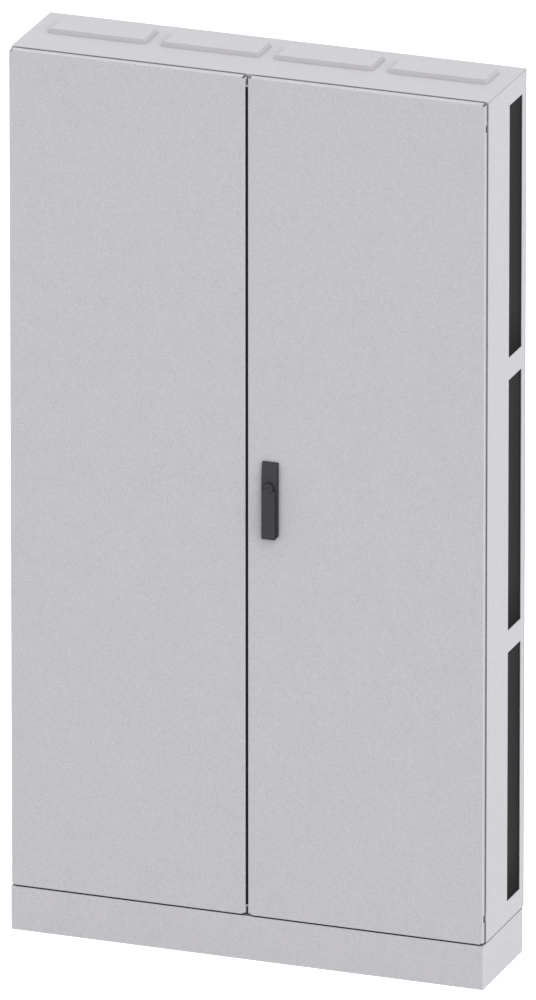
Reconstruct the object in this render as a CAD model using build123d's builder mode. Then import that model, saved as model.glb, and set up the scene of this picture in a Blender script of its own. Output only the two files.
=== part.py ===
from build123d import *
import math
import os

# Two-door floor-standing switchboard cabinet on a plinth, in millimetres.  +Z is up, +X runs across
# the front to the right, and the doors face -Y.  The origin lies on the floor, at the centre of the
# plinth's four floor-bolt holes.

os.makedirs("parts", exist_ok=True)

# ---- Overall sizes ----
cabinet_width = 1050.0
cabinet_height = 1950.0         # with the plinth
cabinet_depth = 250.0           # door front to rear panel
plinth_height = 97.0
plinth_rear_setback = 6.0       # the plinth stops short of the rear panel

# ---- Sheet and joints ----
body_sheet = 1.5
plinth_sheet = 2.0
bend_radius = 2.0               # outer radius of the folded corners that show
seam = 1.0                      # open joint line between neighbouring sheets
slide_clearance = 0.1           # each side of a piece that slides
pin_clearance = 0.05            # radial, between a turning pin and its bore
fit_clearance = 0.3             # between pieces that must not touch
overrun = 1.0                   # of a cutting block past the face it opens

# ---- Doors ----
door_sheet = 1.5
door_tray_depth = 13.0
door_standoff = 5.0             # tray back to body rim, filled by the gasket
door_side_inset = 1.3
door_bottom_gap = 2.5           # above the plinth
door_top_gap = 1.2              # below the roof's top face
meeting_gap = 6.4
door_lip = 25.0                 # tray lip at the hinge side, top and bottom
meeting_lip = 14.0
gasket_width = 10.0
gasket_inset = 14.2             # tray edge to gasket, at the hinge side and top
gasket_inset_bottom = 10.0
gasket_inset_meeting = 2.0

# ---- Front rim of the body ----
rim_side = 28.0
rim_top = 28.0
rim_bottom = 24.0
rim_return = 12.0

# ---- Side panels and window covers ----
window_depth = 78.5
window_rear_margin = 25.0
window_bar = 48.6
window_count = 3
rear_flange = 25.0
cover_sheet = 2.5
cover_overlap = 7.0             # of a window cover over each window edge
cover_channel = 3.0             # room for the cover under its guide strips
cover_ribs = 3
guide_strip_foot = 9.0
guide_strip_lip = 6.0

# ---- Roof ----
roof_rear_skirt = 20.0
roof_rear_return = 17.0
roof_cover_count = 4
roof_side_margin = 25.0         # beside the row of covers' places
roof_cover_gap = 37.0           # between two covers
roof_cover_width = 81.0
roof_cover_rise = 10.0
roof_cover_slope = 3.5
roof_cover_rear_margin = 48.0
roof_cover_sheet = 1.5
roof_cover_lip_depth = 6.0
roof_opening_margin = 12.0      # cover edge to the opening below it

# ---- Bottom panel and gland plates ----
bottom_rear_flange = 20.0
gland_side_margin = 85.0        # cabinet's side to gland opening
gland_middle_gap = 40.0         # between the two gland openings
gland_front_margin = 55.0
gland_rear_margin = 65.0
gland_plate_sheet = 2.0
gland_plate_overlap = 10.0
gland_screw_inset = 5.0

# ---- Plinth ----
plinth_lip = 50.0
floor_hole = 14.0
floor_hole_inset = 30.0         # from the cabinet's sides, front and rear
bracket_sheet = 4.0
bracket_width = 60.0
bracket_depth = 70.0
cabinet_bolt = 10.0
cabinet_bolt_inset = 55.0       # from the cabinet's front and rear
cabinet_bolt_length = 20.0
cabinet_bolt_head = 17.0        # across flats
cabinet_bolt_head_height = 6.4
bracket_slot_length = 24.0      # round the floor bolt
bracket_slot_width = 18.0
plinth_screw_heights = (25.0, 72.0)

# ---- Rear wall ----
wall_hole = 10.5
wall_hole_side_inset = 85.0
wall_hole_top_inset = 175.0
wall_hole_floor_height = 275.0
rear_screw_count = 4            # on each side
rear_screw_inset = 8.0          # from the cabinet's side
rear_screw_end_inset = 40.0     # from the plinth and from the roof

# ---- Mounting frame ----
upright_width = 40.0
upright_depth = 34.0
upright_lip = 10.0
upright_sheet = 2.0
upright_inset = 35.0            # cabinet's side to the upright's middle
upright_hole = 8.4
upright_pitch = 75.0
upright_first_hole = 125.0      # above the floor
rail_lip_height = 35.0
rail_base_height = 25.0
rail_rise = 7.5
rail_sheet = 1.5
rail_end_inset = 13.0           # from the cabinet's side
rail_holes = (2, 8, 14, 20)     # upright holes that carry a rail
rail_slot_length = 12.0
rail_slot_width = 7.0
earth_bar_hole_index = 1
earth_bar_height = 30.0
earth_bar_thickness = 5.0
earth_bar_end_inset = 20.0      # from the cabinet's side
earth_bar_bore = 8.5
earth_bar_bore_pitch = 90.0
earth_bar_bores = 4             # on each side of the middle

# ---- Hinges ----
hinge_end_inset = 55.0          # hinge centre from the door's end
hinge_axis_inset = 8.0          # from the cabinet's side
hinge_axis_depth = 6.6          # behind the door's front face
hinge_pin = 5.0
hinge_barrel = 8.4              # across its flats
hinge_arm_height = 13.0
hinge_arm_sheet = 3.0
hinge_foot_height = 40.0
hinge_foot_clearance = 1.0      # from the rim's return
hinge_notch_height = 17.0
hinge_notch_side = 1.7          # beside the arm
hinge_notch_front = 3.5         # in front of the pin's axis
hinge_lug = 3.0
hinge_leaf_base = 16.0
hinge_leaf_sheet = 2.0
hinge_pin_overhang = 1.0
hinge_sides = 12                # pins, barrels and their bores are drawn with flat sides

# ---- Door stiffeners ----
stiffener_foot = 8.0
stiffener_end_gap = 9.0         # from the body's door opening
lock_stiffener_width = 54.0
lock_stiffener_inset = 54.0     # its middle from the cabinet's middle
hinge_stiffener_width = 30.0
hinge_stiffener_inset = 65.0    # its middle from the cabinet's side
stiffener_slot_length = 25.0
stiffener_slot_width = 8.0
stiffener_slot_pitch = 240.0

# ---- Meeting edge ----
seal_base = 1.5
seal_front_setback = 4.0
seal_bulb = 4.0
seal_plug_height = 8.0

# ---- Swing handle ----
handle_x = 54.0
handle_pivot_z = 1058.5
handle_base_width = 34.5
handle_base_rise = 53.0         # above the pivot
handle_base_drop = 114.0        # below the pivot
handle_base_thickness = 11.0
handle_base_top_thickness = 6.0
handle_wedge_height = 33.0
handle_base_chamfer = 5.0
head_diameter = 21.0
neck_diameter = 14.0
spindle_square = 8.0
lever_width = 29.5
lever_thickness = 6.2
lever_drop = 113.0              # below the pivot
lever_pin_drop = 7.6            # pin below the pivot
lever_pin = 3.0
lever_notch_clearance = 0.5
lever_notch_flare = 1.6
lock_plug = 9.0
lock_plug_length = 10.0
key_slot_height = 6.4
key_slot_width = 1.6
key_slot_depth = 6.0
handle_screw_rise = 36.0        # upper fixing screw above the pivot
handle_screw_drop = 96.0        # lower fixing screw below the pivot
handle_screw_depth = 6.0        # into the base
spindle_cutout = 16.0           # square, in the door skin and the stiffener

# ---- Rack and pinion lock ----
gear_module = 1.0
gear_teeth = 18
gear_backlash = 0.2
gear_pressure_angle = 20.0
gear_dedendum = 1.25            # in modules
gear_thickness = 5.2
gear_end_clearance = 0.2
rod_width = 12.0
rod_thickness = 5.0
rod_pad = 3.5                   # rod's front face behind the stiffener's web
rack_teeth = 9
rack_lead = 2                   # teeth behind the pinion's centre at rest
case_width = 56.0
case_height = 72.0
case_wall = 4.0
case_front = 3.2
case_depth = 9.0
case_cover_sheet = 1.5
case_bearing = 12.0
guide_height = 16.0
guide_wall = 5.0
guide_back = 2.4
rod_guide_shares = (0.2, 0.55, 0.9)  # of the way from the gear case to the rod's tip
rod_end_gap = 1.0               # rod tip to the body's rim
rod_tip_chamfer = 1.5
keeper_height = 4.0
keeper_margin = 6.0
keeper_clearance = 0.3
slide_bolt_length = 140.0
slide_bolt_x = 40.0
slide_bolt_grip_width = 12.0
slide_bolt_grip_height = 16.0
slide_bolt_grip_length = 12.0
slide_bolt_guide_reach = 42.0   # from the bolt's middle

# ---- Small screws: they and their holes are drawn with flat sides ----
screw_sides = 6
screw = 5.0                     # shank
screw_head = 9.0
screw_head_height = 2.5
rail_screw = 6.0
rail_screw_head = 10.0
rail_screw_head_height = 3.0
rail_screw_reach = 5.0          # behind the upright's web

# ---- Places worked out from the sizes ----
half_width = cabinet_width / 2
front_y = -cabinet_depth / 2
rear_y = cabinet_depth / 2
door_rear_y = front_y + door_tray_depth
body_front_y = door_rear_y + door_standoff
rear_sheet_y = rear_y - body_sheet
roof_under_z = cabinet_height - body_sheet
opening_x = half_width - rim_side
opening_top_z = cabinet_height - rim_top
opening_bottom_z = plinth_height + rim_bottom
inner_x = half_width - body_sheet
bottom_top_z = plinth_height + body_sheet

door_outer_x = half_width - door_side_inset
door_inner_x = meeting_gap / 2
door_width = door_outer_x - door_inner_x
door_mid_x = (door_outer_x + door_inner_x) / 2
door_bottom_z = plinth_height + door_bottom_gap
door_top_z = cabinet_height - door_top_gap
door_height = door_top_z - door_bottom_z
door_mid_z = (door_top_z + door_bottom_z) / 2
skin_y = front_y + door_sheet

floor_hole_spacing_x = cabinet_width - 2 * floor_hole_inset
floor_hole_spacing_y = cabinet_depth - 2 * floor_hole_inset
cabinet_bolt_spacing_y = cabinet_depth - 2 * cabinet_bolt_inset
gland_opening_length = (cabinet_width - gland_middle_gap) / 2 - gland_side_margin
gland_opening_x = (gland_opening_length + gland_middle_gap) / 2
gland_opening_width = cabinet_depth - gland_front_margin - gland_rear_margin
gland_opening_y = (gland_front_margin - gland_rear_margin) / 2
wall_hole_spacing_x = cabinet_width - 2 * wall_hole_side_inset
wall_hole_top_z = cabinet_height - wall_hole_top_inset
wall_hole_spacing_z = wall_hole_top_z - wall_hole_floor_height
wall_hole_centre_z = (wall_hole_top_z + wall_hole_floor_height) / 2
roof_cover_pitch = (cabinet_width - 2 * roof_side_margin) / roof_cover_count
roof_cover_length = roof_cover_pitch - roof_cover_gap
roof_cover_y = rear_y - roof_cover_rear_margin - roof_cover_width / 2
rail_length = cabinet_width - 2 * rail_end_inset
earth_bar_length = cabinet_width - 2 * earth_bar_end_inset

plinth_rear_y = rear_y - plinth_rear_setback
plinth_depth = plinth_rear_y - front_y
plinth_mid_y = (plinth_rear_y + front_y) / 2

hinge_x = half_width - hinge_axis_inset
hinge_y = front_y + hinge_axis_depth
hinge_heights = (door_bottom_z + hinge_end_inset, door_top_z - hinge_end_inset)

window_height = (cabinet_height - plinth_height - (window_count + 1) * window_bar) / window_count
window_mid_y = rear_y - window_rear_margin - window_depth / 2
window_pitch = window_height + window_bar
window_heights = [plinth_height + window_bar + window_height / 2 + i * window_pitch
                  for i in range(window_count)]

upright_front_y = rear_sheet_y - body_sheet - upright_depth
upright_top_z = cabinet_height - roof_rear_skirt - body_sheet - seam
upright_x = half_width - upright_inset
upright_places = (-upright_x, upright_x)
web_y = body_front_y            # back face of the door stiffeners
rod_front_y = web_y + rod_pad
rod_mid_y = rod_front_y + rod_thickness / 2

pitch_radius = gear_module * gear_teeth / 2
rack_offset = pitch_radius - gear_module + rod_width / 2
upper_rod_x = handle_x - rack_offset
lower_rod_x = handle_x + rack_offset


def folded_sheet(path, thickness, plane, length, side=Side.LEFT):
    """A sheet bent along straight runs: the path is one face, and the thickness lies to its side."""
    with BuildPart() as sheet:
        with BuildSketch(plane):
            with BuildLine():
                Polyline(*path)
                offset(amount=thickness, side=side, kind=Kind.INTERSECTION)
            make_face()
        extrude(amount=length)
    return sheet.part


def box(x_range, y_range, z_range):
    """A block between two corners, given as ranges."""
    with BuildPart() as block:
        with BuildSketch(Plane.XY.offset(z_range[0])):
            with Locations(((x_range[0] + x_range[1]) / 2, (y_range[0] + y_range[1]) / 2)):
                Rectangle(abs(x_range[1] - x_range[0]), abs(y_range[1] - y_range[0]))
        extrude(amount=z_range[1] - z_range[0])
    return block.part


def mirrored(piece):
    """The same piece on the other side of the cabinet."""
    with BuildPart() as other:
        mirror(piece, about=Plane.YZ)
    return other.part


def screw_round(diameter, mode=Mode.ADD):
    """The outline of a screw's shank, head or hole, measured across its flats."""
    RegularPolygon(diameter / 2, screw_sides, major_radius=False, mode=mode)


def screws_along_y(places, head_y, shank, head, head_height, tip_y):
    """Screws whose heads sit at head_y, with shanks that point to tip_y."""
    direction = 1 if tip_y > head_y else -1
    with BuildPart() as group:
        with BuildSketch(Plane.XZ.offset(-head_y)):
            with Locations(*places):
                screw_round(head)
        extrude(amount=direction * head_height)
        with BuildSketch(Plane.XZ.offset(-head_y)):
            with Locations(*places):
                screw_round(shank)
        extrude(amount=-(tip_y - head_y))
    return group.part


def keep(piece, name):
    """Label a finished piece and write it out."""
    piece.label = name
    export_step(piece, "parts/" + name + ".step")


# ---- Plinth: a welded ring with folded lips, open at the rear ----
with BuildPart() as plinth_frame:
    with BuildSketch(Plane.XY):
        with Locations((0, plinth_mid_y)):
            Rectangle(cabinet_width, plinth_depth)
    extrude(amount=plinth_height)
    fillet(plinth_frame.edges().filter_by(Axis.Z).group_by(Axis.Y)[0], bend_radius)
    with BuildSketch(Plane.XY.offset(plinth_sheet)):
        with Locations((0, plinth_mid_y + plinth_sheet)):
            Rectangle(cabinet_width - 2 * plinth_sheet, plinth_depth)
    extrude(amount=plinth_height - 2 * plinth_sheet, mode=Mode.SUBTRACT)
    with BuildSketch(Plane.XY):
        with Locations((0, plinth_mid_y + plinth_lip)):
            Rectangle(cabinet_width - 2 * plinth_lip, plinth_depth)
    extrude(amount=plinth_height, mode=Mode.SUBTRACT)
    with BuildSketch(Plane.XY):
        with GridLocations(floor_hole_spacing_x, floor_hole_spacing_y, 2, 2):
            Circle(floor_hole / 2)
    extrude(amount=plinth_sheet, mode=Mode.SUBTRACT)
    with BuildSketch(Plane.XY.offset(plinth_height - plinth_sheet)):
        with GridLocations(floor_hole_spacing_x, cabinet_bolt_spacing_y, 2, 2):
            screw_round(cabinet_bolt + 2 * fit_clearance)
    extrude(amount=plinth_sheet, mode=Mode.SUBTRACT)
keep(plinth_frame.part, "plinth_frame")

rear_panel_gap = plinth_sheet + seam
with BuildPart() as plinth_rear_panel:
    with BuildSketch(Plane.XZ.offset(-plinth_rear_y)):
        with Locations((0, plinth_height / 2)):
            Rectangle(cabinet_width - 2 * rear_panel_gap, plinth_height - 2 * rear_panel_gap)
        with Locations(*[(side * floor_hole_spacing_x / 2, z)
                         for side in (-1, 1) for z in plinth_screw_heights]):
            screw_round(screw + 2 * fit_clearance, mode=Mode.SUBTRACT)
    extrude(amount=plinth_sheet)
keep(plinth_rear_panel.part, "plinth_rear_panel")

# Corner brackets: open boxes of plate behind each corner, drilled for the floor and cabinet bolts.
bracket_outer_x = half_width - plinth_sheet
bracket_front_y = front_y + plinth_sheet
bracket_rear_y = plinth_rear_y - plinth_sheet
bracket_top_z = plinth_height - plinth_sheet
with BuildPart() as plinth_corner_brackets:
    add(box((bracket_outer_x - bracket_width, bracket_outer_x),
            (bracket_front_y, bracket_front_y + bracket_depth), (plinth_sheet, bracket_top_z)))
    add(box((bracket_outer_x - bracket_width - overrun, bracket_outer_x - bracket_sheet),
            (bracket_front_y + bracket_sheet, bracket_front_y + bracket_depth + overrun),
            (plinth_sheet + bracket_sheet, bracket_top_z - bracket_sheet)), mode=Mode.SUBTRACT)
    mirror(about=Plane.XZ.offset(-(bracket_front_y + bracket_rear_y) / 2))
    mirror(about=Plane.YZ)
    with BuildSketch(Plane.XY.offset(plinth_sheet)):
        with GridLocations(floor_hole_spacing_x, floor_hole_spacing_y, 2, 2):
            Rectangle(bracket_slot_width, bracket_slot_length)
    extrude(amount=bracket_sheet, mode=Mode.SUBTRACT)
    with BuildSketch(Plane.XY.offset(bracket_top_z - bracket_sheet)):
        with GridLocations(floor_hole_spacing_x, cabinet_bolt_spacing_y, 2, 2):
            screw_round(cabinet_bolt + 2 * pin_clearance)
    extrude(amount=bracket_sheet, mode=Mode.SUBTRACT)
    with BuildSketch(Plane.XZ.offset(-bracket_rear_y)):
        with Locations(*[(side * floor_hole_spacing_x / 2, z)
                         for side in (-1, 1) for z in plinth_screw_heights]):
            screw_round(screw + 2 * pin_clearance)
    extrude(amount=bracket_sheet, mode=Mode.SUBTRACT)
keep(plinth_corner_brackets.part, "plinth_corner_brackets")

plinth_screws = screws_along_y([(side * floor_hole_spacing_x / 2, z)
                                for side in (-1, 1) for z in plinth_screw_heights],
                               plinth_rear_y, screw, screw_head, screw_head_height,
                               plinth_rear_y - plinth_sheet - bracket_sheet)
keep(plinth_screws, "plinth_screws")

with BuildPart() as cabinet_bolts:
    with BuildSketch(Plane.XY.offset(bottom_top_z)):
        with GridLocations(floor_hole_spacing_x, cabinet_bolt_spacing_y, 2, 2):
            screw_round(cabinet_bolt_head)
    extrude(amount=cabinet_bolt_head_height)
    with BuildSketch(Plane.XY.offset(bottom_top_z)):
        with GridLocations(floor_hole_spacing_x, cabinet_bolt_spacing_y, 2, 2):
            screw_round(cabinet_bolt)
    extrude(amount=-cabinet_bolt_length)
keep(cabinet_bolts.part, "cabinet_bolts")

# ---- Bottom panel: folded up at the front rim and the rear, with two gland openings ----
bottom_fold = folded_sheet(
    [(body_front_y + rim_return, opening_bottom_z), (body_front_y, opening_bottom_z),
     (body_front_y, plinth_height), (rear_sheet_y, plinth_height),
     (rear_sheet_y, plinth_height + bottom_rear_flange)],
    body_sheet, Plane.YZ.offset(-inner_x), 2 * inner_x)
keeper_slot_y = (rod_front_y - keeper_clearance, rod_front_y + rod_thickness + keeper_clearance)
keeper_half_width = rod_width / 2 + keeper_clearance
bottom_keeper_places = (-slide_bolt_x, lower_rod_x)
top_keeper_places = (-slide_bolt_x, upper_rod_x)
gland_screw_x = gland_opening_length / 2 + gland_screw_inset
gland_screw_y = gland_opening_width / 2 + gland_screw_inset
gland_screw_places = [(side * gland_opening_x + end * gland_screw_x, gland_opening_y + edge * gland_screw_y)
                      for side in (-1, 1) for end in (-1, 1) for edge in (-1, 1)]
with BuildPart() as bottom_panel:
    add(bottom_fold)
    with BuildSketch(Plane.XY.offset(plinth_height)):
        with Locations((-gland_opening_x, gland_opening_y), (gland_opening_x, gland_opening_y)):
            Rectangle(gland_opening_length, gland_opening_width)
        with GridLocations(floor_hole_spacing_x, cabinet_bolt_spacing_y, 2, 2):
            screw_round(cabinet_bolt + 2 * fit_clearance)
        with Locations(*gland_screw_places):
            screw_round(screw + 2 * pin_clearance)
    extrude(amount=body_sheet, mode=Mode.SUBTRACT)
    for place in bottom_keeper_places:
        add(box((place - keeper_half_width, place + keeper_half_width), keeper_slot_y,
                (opening_bottom_z - body_sheet, opening_bottom_z)), mode=Mode.SUBTRACT)
keep(bottom_panel.part, "bottom_panel")

for name, side in (("gland_plate_left", -1), ("gland_plate_right", 1)):
    with BuildPart() as gland_plate:
        with BuildSketch(Plane.XY.offset(bottom_top_z)):
            with Locations((side * gland_opening_x, gland_opening_y)):
                Rectangle(gland_opening_length + 2 * gland_plate_overlap,
                          gland_opening_width + 2 * gland_plate_overlap)
                with GridLocations(2 * gland_screw_x, 2 * gland_screw_y, 2, 2):
                    screw_round(screw + 2 * fit_clearance, mode=Mode.SUBTRACT)
        extrude(amount=gland_plate_sheet)
    keep(gland_plate.part, name)

gland_plate_top_z = bottom_top_z + gland_plate_sheet
with BuildPart() as gland_plate_screws:
    with BuildSketch(Plane.XY.offset(gland_plate_top_z)):
        with Locations(*gland_screw_places):
            screw_round(screw_head)
    extrude(amount=screw_head_height)
    with BuildSketch(Plane.XY.offset(gland_plate_top_z)):
        with Locations(*gland_screw_places):
            screw_round(screw)
    extrude(amount=-(gland_plate_sheet + body_sheet))
keep(gland_plate_screws.part, "gland_plate_screws")

# ---- Side panels: one folded sheet each, with three windows and two strips that guide the covers ----
panel_bottom_z = plinth_height + seam
panel_top_z = roof_under_z - seam
side_fold = folded_sheet(
    [(opening_x, body_front_y + rim_return), (opening_x, body_front_y), (half_width, body_front_y),
     (half_width, rear_sheet_y), (half_width - rear_flange, rear_sheet_y)],
    body_sheet, Plane.XY.offset(panel_bottom_z), panel_top_z - panel_bottom_z)
strip_stand = inner_x - cover_channel
cover_front_y = window_mid_y - window_depth / 2 - cover_overlap
cover_rear_y = window_mid_y + window_depth / 2 + cover_overlap
strip_bottom_z = window_heights[0] - window_pitch / 2 + seam
strip_height = window_count * window_pitch - 2 * seam
front_strip = folded_sheet(
    [(inner_x, cover_front_y - seam - guide_strip_foot), (inner_x, cover_front_y - seam),
     (strip_stand, cover_front_y - seam), (strip_stand, cover_front_y + guide_strip_lip)],
    body_sheet, Plane.XY.offset(strip_bottom_z), strip_height)
rear_strip = folded_sheet(
    [(inner_x, cover_rear_y + seam + guide_strip_foot), (inner_x, cover_rear_y + seam),
     (strip_stand, cover_rear_y + seam), (strip_stand, cover_rear_y - guide_strip_lip)],
    body_sheet, Plane.XY.offset(strip_bottom_z), strip_height, side=Side.RIGHT)
hinge_arm_outer_x = hinge_x - hinge_barrel / 2 + hinge_arm_sheet
hinge_arm_inner_x = hinge_x - hinge_barrel / 2
rear_screw_span = cabinet_height - plinth_height - 2 * rear_screw_end_inset
rear_screw_heights = [plinth_height + rear_screw_end_inset + i * rear_screw_span / (rear_screw_count - 1)
                      for i in range(rear_screw_count)]
rear_screw_places = [(side * (half_width - rear_screw_inset), z)
                     for side in (-1, 1) for z in rear_screw_heights]
with BuildPart() as right_side_panel:
    add(side_fold)
    for z_range in ((opening_top_z, panel_top_z), (panel_bottom_z, opening_bottom_z)):
        add(box((opening_x - overrun, inner_x),
                (body_front_y - overrun, body_front_y + rim_return + overrun), z_range),
            mode=Mode.SUBTRACT)
    for z_range in ((cabinet_height - roof_rear_skirt - seam, panel_top_z),
                    (panel_bottom_z, plinth_height + bottom_rear_flange)):
        add(box((half_width - rear_flange - overrun, inner_x), (rear_sheet_y - body_sheet, rear_sheet_y),
                z_range), mode=Mode.SUBTRACT)
    add(front_strip)
    add(rear_strip)
    with BuildSketch(Plane.YZ.offset(inner_x)):
        with Locations(*[(window_mid_y, z) for z in window_heights]):
            Rectangle(window_depth, window_height)
    extrude(amount=body_sheet, mode=Mode.SUBTRACT)
    for z in hinge_heights:
        add(box((hinge_arm_inner_x - seam, hinge_arm_outer_x + seam),
                (body_front_y, body_front_y + body_sheet),
                (z - hinge_arm_height / 2 - seam, z + hinge_arm_height / 2 + seam)), mode=Mode.SUBTRACT)
    with BuildSketch(Plane.XZ.offset(-rear_sheet_y)):
        with Locations(*rear_screw_places[rear_screw_count:]):
            screw_round(screw + 2 * fit_clearance)
    extrude(amount=body_sheet, mode=Mode.SUBTRACT)
keep(right_side_panel.part, "right_side_panel")
keep(mirrored(right_side_panel.part), "left_side_panel")

# Window covers slide in behind the windows from above and stand one on another.
cover_mid_y = (cover_front_y + cover_rear_y) / 2
for level, z in zip(("lower", "middle", "upper"), window_heights):
    with BuildPart() as side_cover:
        with BuildSketch(Plane.YZ.offset(inner_x)):
            with Locations((cover_mid_y, z)):
                Rectangle(cover_rear_y - cover_front_y, window_pitch - 2 * seam)
        extrude(amount=-cover_sheet)
        with BuildSketch(Plane.YZ.offset(inner_x - cover_sheet)):
            with Locations((cover_mid_y, z)):
                with GridLocations(window_depth / cover_ribs, 0, cover_ribs, 1):
                    Rectangle(cover_sheet, window_height)
        extrude(amount=-cover_sheet)
    keep(side_cover.part, "right_side_cover_" + level)
    keep(mirrored(side_cover.part), "left_side_cover_" + level)

# ---- Rear panel: flat, with a flange under the roof's return, screwed from inside ----
rear_panel_top_z = cabinet_height - roof_rear_skirt - fit_clearance
rear_fold = folded_sheet(
    [(rear_y - roof_rear_return, rear_panel_top_z), (rear_y, rear_panel_top_z),
     (rear_y, plinth_height + seam)],
    body_sheet, Plane.YZ.offset(-half_width), cabinet_width, side=Side.RIGHT)
with BuildPart() as rear_panel:
    add(rear_fold)
    for side in (-1, 1):
        add(box((side * inner_x, side * (inner_x - rear_flange)),
                (rear_y - roof_rear_return, rear_sheet_y), (rear_panel_top_z - body_sheet, rear_panel_top_z)),
            mode=Mode.SUBTRACT)
        add(box((side * half_width, side * inner_x),
                (rear_y - roof_rear_return, rear_sheet_y), (rear_panel_top_z - body_sheet, rear_panel_top_z)),
            mode=Mode.SUBTRACT)
    with BuildSketch(Plane.XZ.offset(-rear_y)):
        with Locations((0, wall_hole_centre_z)):
            with GridLocations(wall_hole_spacing_x, wall_hole_spacing_z, 2, 2):
                Circle(wall_hole / 2)
        with Locations(*rear_screw_places):
            screw_round(screw + 2 * pin_clearance)
    extrude(amount=body_sheet, mode=Mode.SUBTRACT)
keep(rear_panel.part, "rear_panel")

rear_panel_screws = screws_along_y(rear_screw_places, rear_sheet_y - body_sheet, screw, screw_head,
                                   screw_head_height, rear_y)
keep(rear_panel_screws, "rear_panel_screws")

# ---- Roof: a sheet folded down at the rear, with four cable openings, and a header welded below
# its front edge ----
roof_fold = folded_sheet(
    [(body_front_y, cabinet_height), (rear_y, cabinet_height), (rear_y, cabinet_height - roof_rear_skirt),
     (rear_y - roof_rear_return, cabinet_height - roof_rear_skirt)],
    body_sheet, Plane.YZ.offset(-half_width), cabinet_width, side=Side.RIGHT)
roof_opening_length = roof_cover_length - 2 * roof_opening_margin
roof_opening_width = roof_cover_width - 2 * roof_opening_margin
with BuildPart() as roof_panel:
    add(roof_fold)
    for side in (-1, 1):
        add(box((side * inner_x, side * (half_width + overrun)), (body_front_y - overrun, rear_sheet_y),
                (opening_top_z - overrun, roof_under_z)), mode=Mode.SUBTRACT)
    with BuildSketch(Plane.XY.offset(roof_under_z)):
        with Locations((0, roof_cover_y)):
            with GridLocations(roof_cover_pitch, 0, roof_cover_count, 1):
                Rectangle(roof_opening_length, roof_opening_width)
    extrude(amount=body_sheet, mode=Mode.SUBTRACT)
keep(roof_panel.part, "roof_panel")

header_fold = folded_sheet(
    [(body_front_y + rim_return, opening_top_z), (body_front_y, opening_top_z),
     (body_front_y, roof_under_z), (body_front_y + rim_return, roof_under_z)],
    body_sheet, Plane.YZ.offset(-inner_x), 2 * inner_x, side=Side.RIGHT)
with BuildPart() as roof_header:
    add(header_fold)
    for place in top_keeper_places:
        add(box((place - keeper_half_width, place + keeper_half_width), keeper_slot_y,
                (opening_top_z, opening_top_z + body_sheet)), mode=Mode.SUBTRACT)
keep(roof_header.part, "roof_header")

# Cable-entry covers: shallow sloped caps with a lip that locates in the roof's openings.
roof_cover_places = [(i - (roof_cover_count - 1) / 2) * roof_cover_pitch for i in range(roof_cover_count)]
roof_cover_taper = math.degrees(math.atan2(roof_cover_slope, roof_cover_rise))
for number, place in enumerate(roof_cover_places, start=1):
    with BuildPart() as roof_cover:
        with BuildSketch(Plane.XY.offset(cabinet_height)):
            with Locations((place, roof_cover_y)):
                Rectangle(roof_cover_length, roof_cover_width)
        extrude(amount=roof_cover_rise, taper=roof_cover_taper)
        with BuildSketch(Plane.XY.offset(cabinet_height)):
            with Locations((place, roof_cover_y)):
                Rectangle(roof_cover_length - 2 * roof_cover_sheet, roof_cover_width - 2 * roof_cover_sheet)
        extrude(amount=roof_cover_rise - roof_cover_sheet, taper=roof_cover_taper, mode=Mode.SUBTRACT)
        with BuildSketch(Plane.XY.offset(cabinet_height - roof_cover_lip_depth)):
            with Locations((place, roof_cover_y)):
                Rectangle(roof_opening_length - 2 * fit_clearance, roof_opening_width - 2 * fit_clearance)
                Rectangle(roof_opening_length - 2 * fit_clearance - 2 * roof_cover_sheet,
                          roof_opening_width - 2 * fit_clearance - 2 * roof_cover_sheet,
                          mode=Mode.SUBTRACT)
        extrude(amount=roof_cover_lip_depth + roof_cover_rise - roof_cover_sheet)
    keep(roof_cover.part, "roof_cover_" + str(number))

# ---- Mounting frame: perforated uprights, top-hat rails and the earth bar ----
upright_rear_y = upright_front_y + upright_depth
upright_hole_count = int((upright_top_z - upright_first_hole) // upright_pitch) + 1
upright_hole_heights = [upright_first_hole + i * upright_pitch for i in range(upright_hole_count)]
for name, place in zip(("left", "right"), upright_places):
    half = upright_width / 2
    channel = folded_sheet(
        [(place - half + upright_lip, upright_rear_y), (place - half, upright_rear_y),
         (place - half, upright_front_y), (place + half, upright_front_y),
         (place + half, upright_rear_y), (place + half - upright_lip, upright_rear_y)],
        upright_sheet, Plane.XY.offset(bottom_top_z), upright_top_z - bottom_top_z)
    with BuildPart() as upright:
        add(channel)
        with BuildSketch(Plane.XZ.offset(-upright_front_y)):
            with Locations(*[(place, z) for z in upright_hole_heights]):
                Rectangle(upright_hole, upright_hole)
        extrude(amount=-upright_sheet, mode=Mode.SUBTRACT)
    keep(upright.part, name + "_mounting_upright")

rail_heights = [upright_hole_heights[index] for index in rail_holes]
rail_screw_places = [(x, z) for x in upright_places for z in rail_heights]
rail_lip_y = upright_front_y - rail_rise
with BuildPart() as mounting_rails:
    for z in rail_heights:
        add(folded_sheet(
            [(rail_lip_y, z + rail_lip_height / 2), (rail_lip_y, z + rail_base_height / 2),
             (upright_front_y, z + rail_base_height / 2), (upright_front_y, z - rail_base_height / 2),
             (rail_lip_y, z - rail_base_height / 2), (rail_lip_y, z - rail_lip_height / 2)],
            rail_sheet, Plane.YZ.offset(-rail_length / 2), rail_length, side=Side.RIGHT))
    with BuildSketch(Plane.XZ.offset(-upright_front_y)):
        with Locations(*rail_screw_places):
            Rectangle(rail_slot_length, rail_slot_width)
    extrude(amount=rail_sheet, mode=Mode.SUBTRACT)
keep(mounting_rails.part, "mounting_rails")

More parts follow.
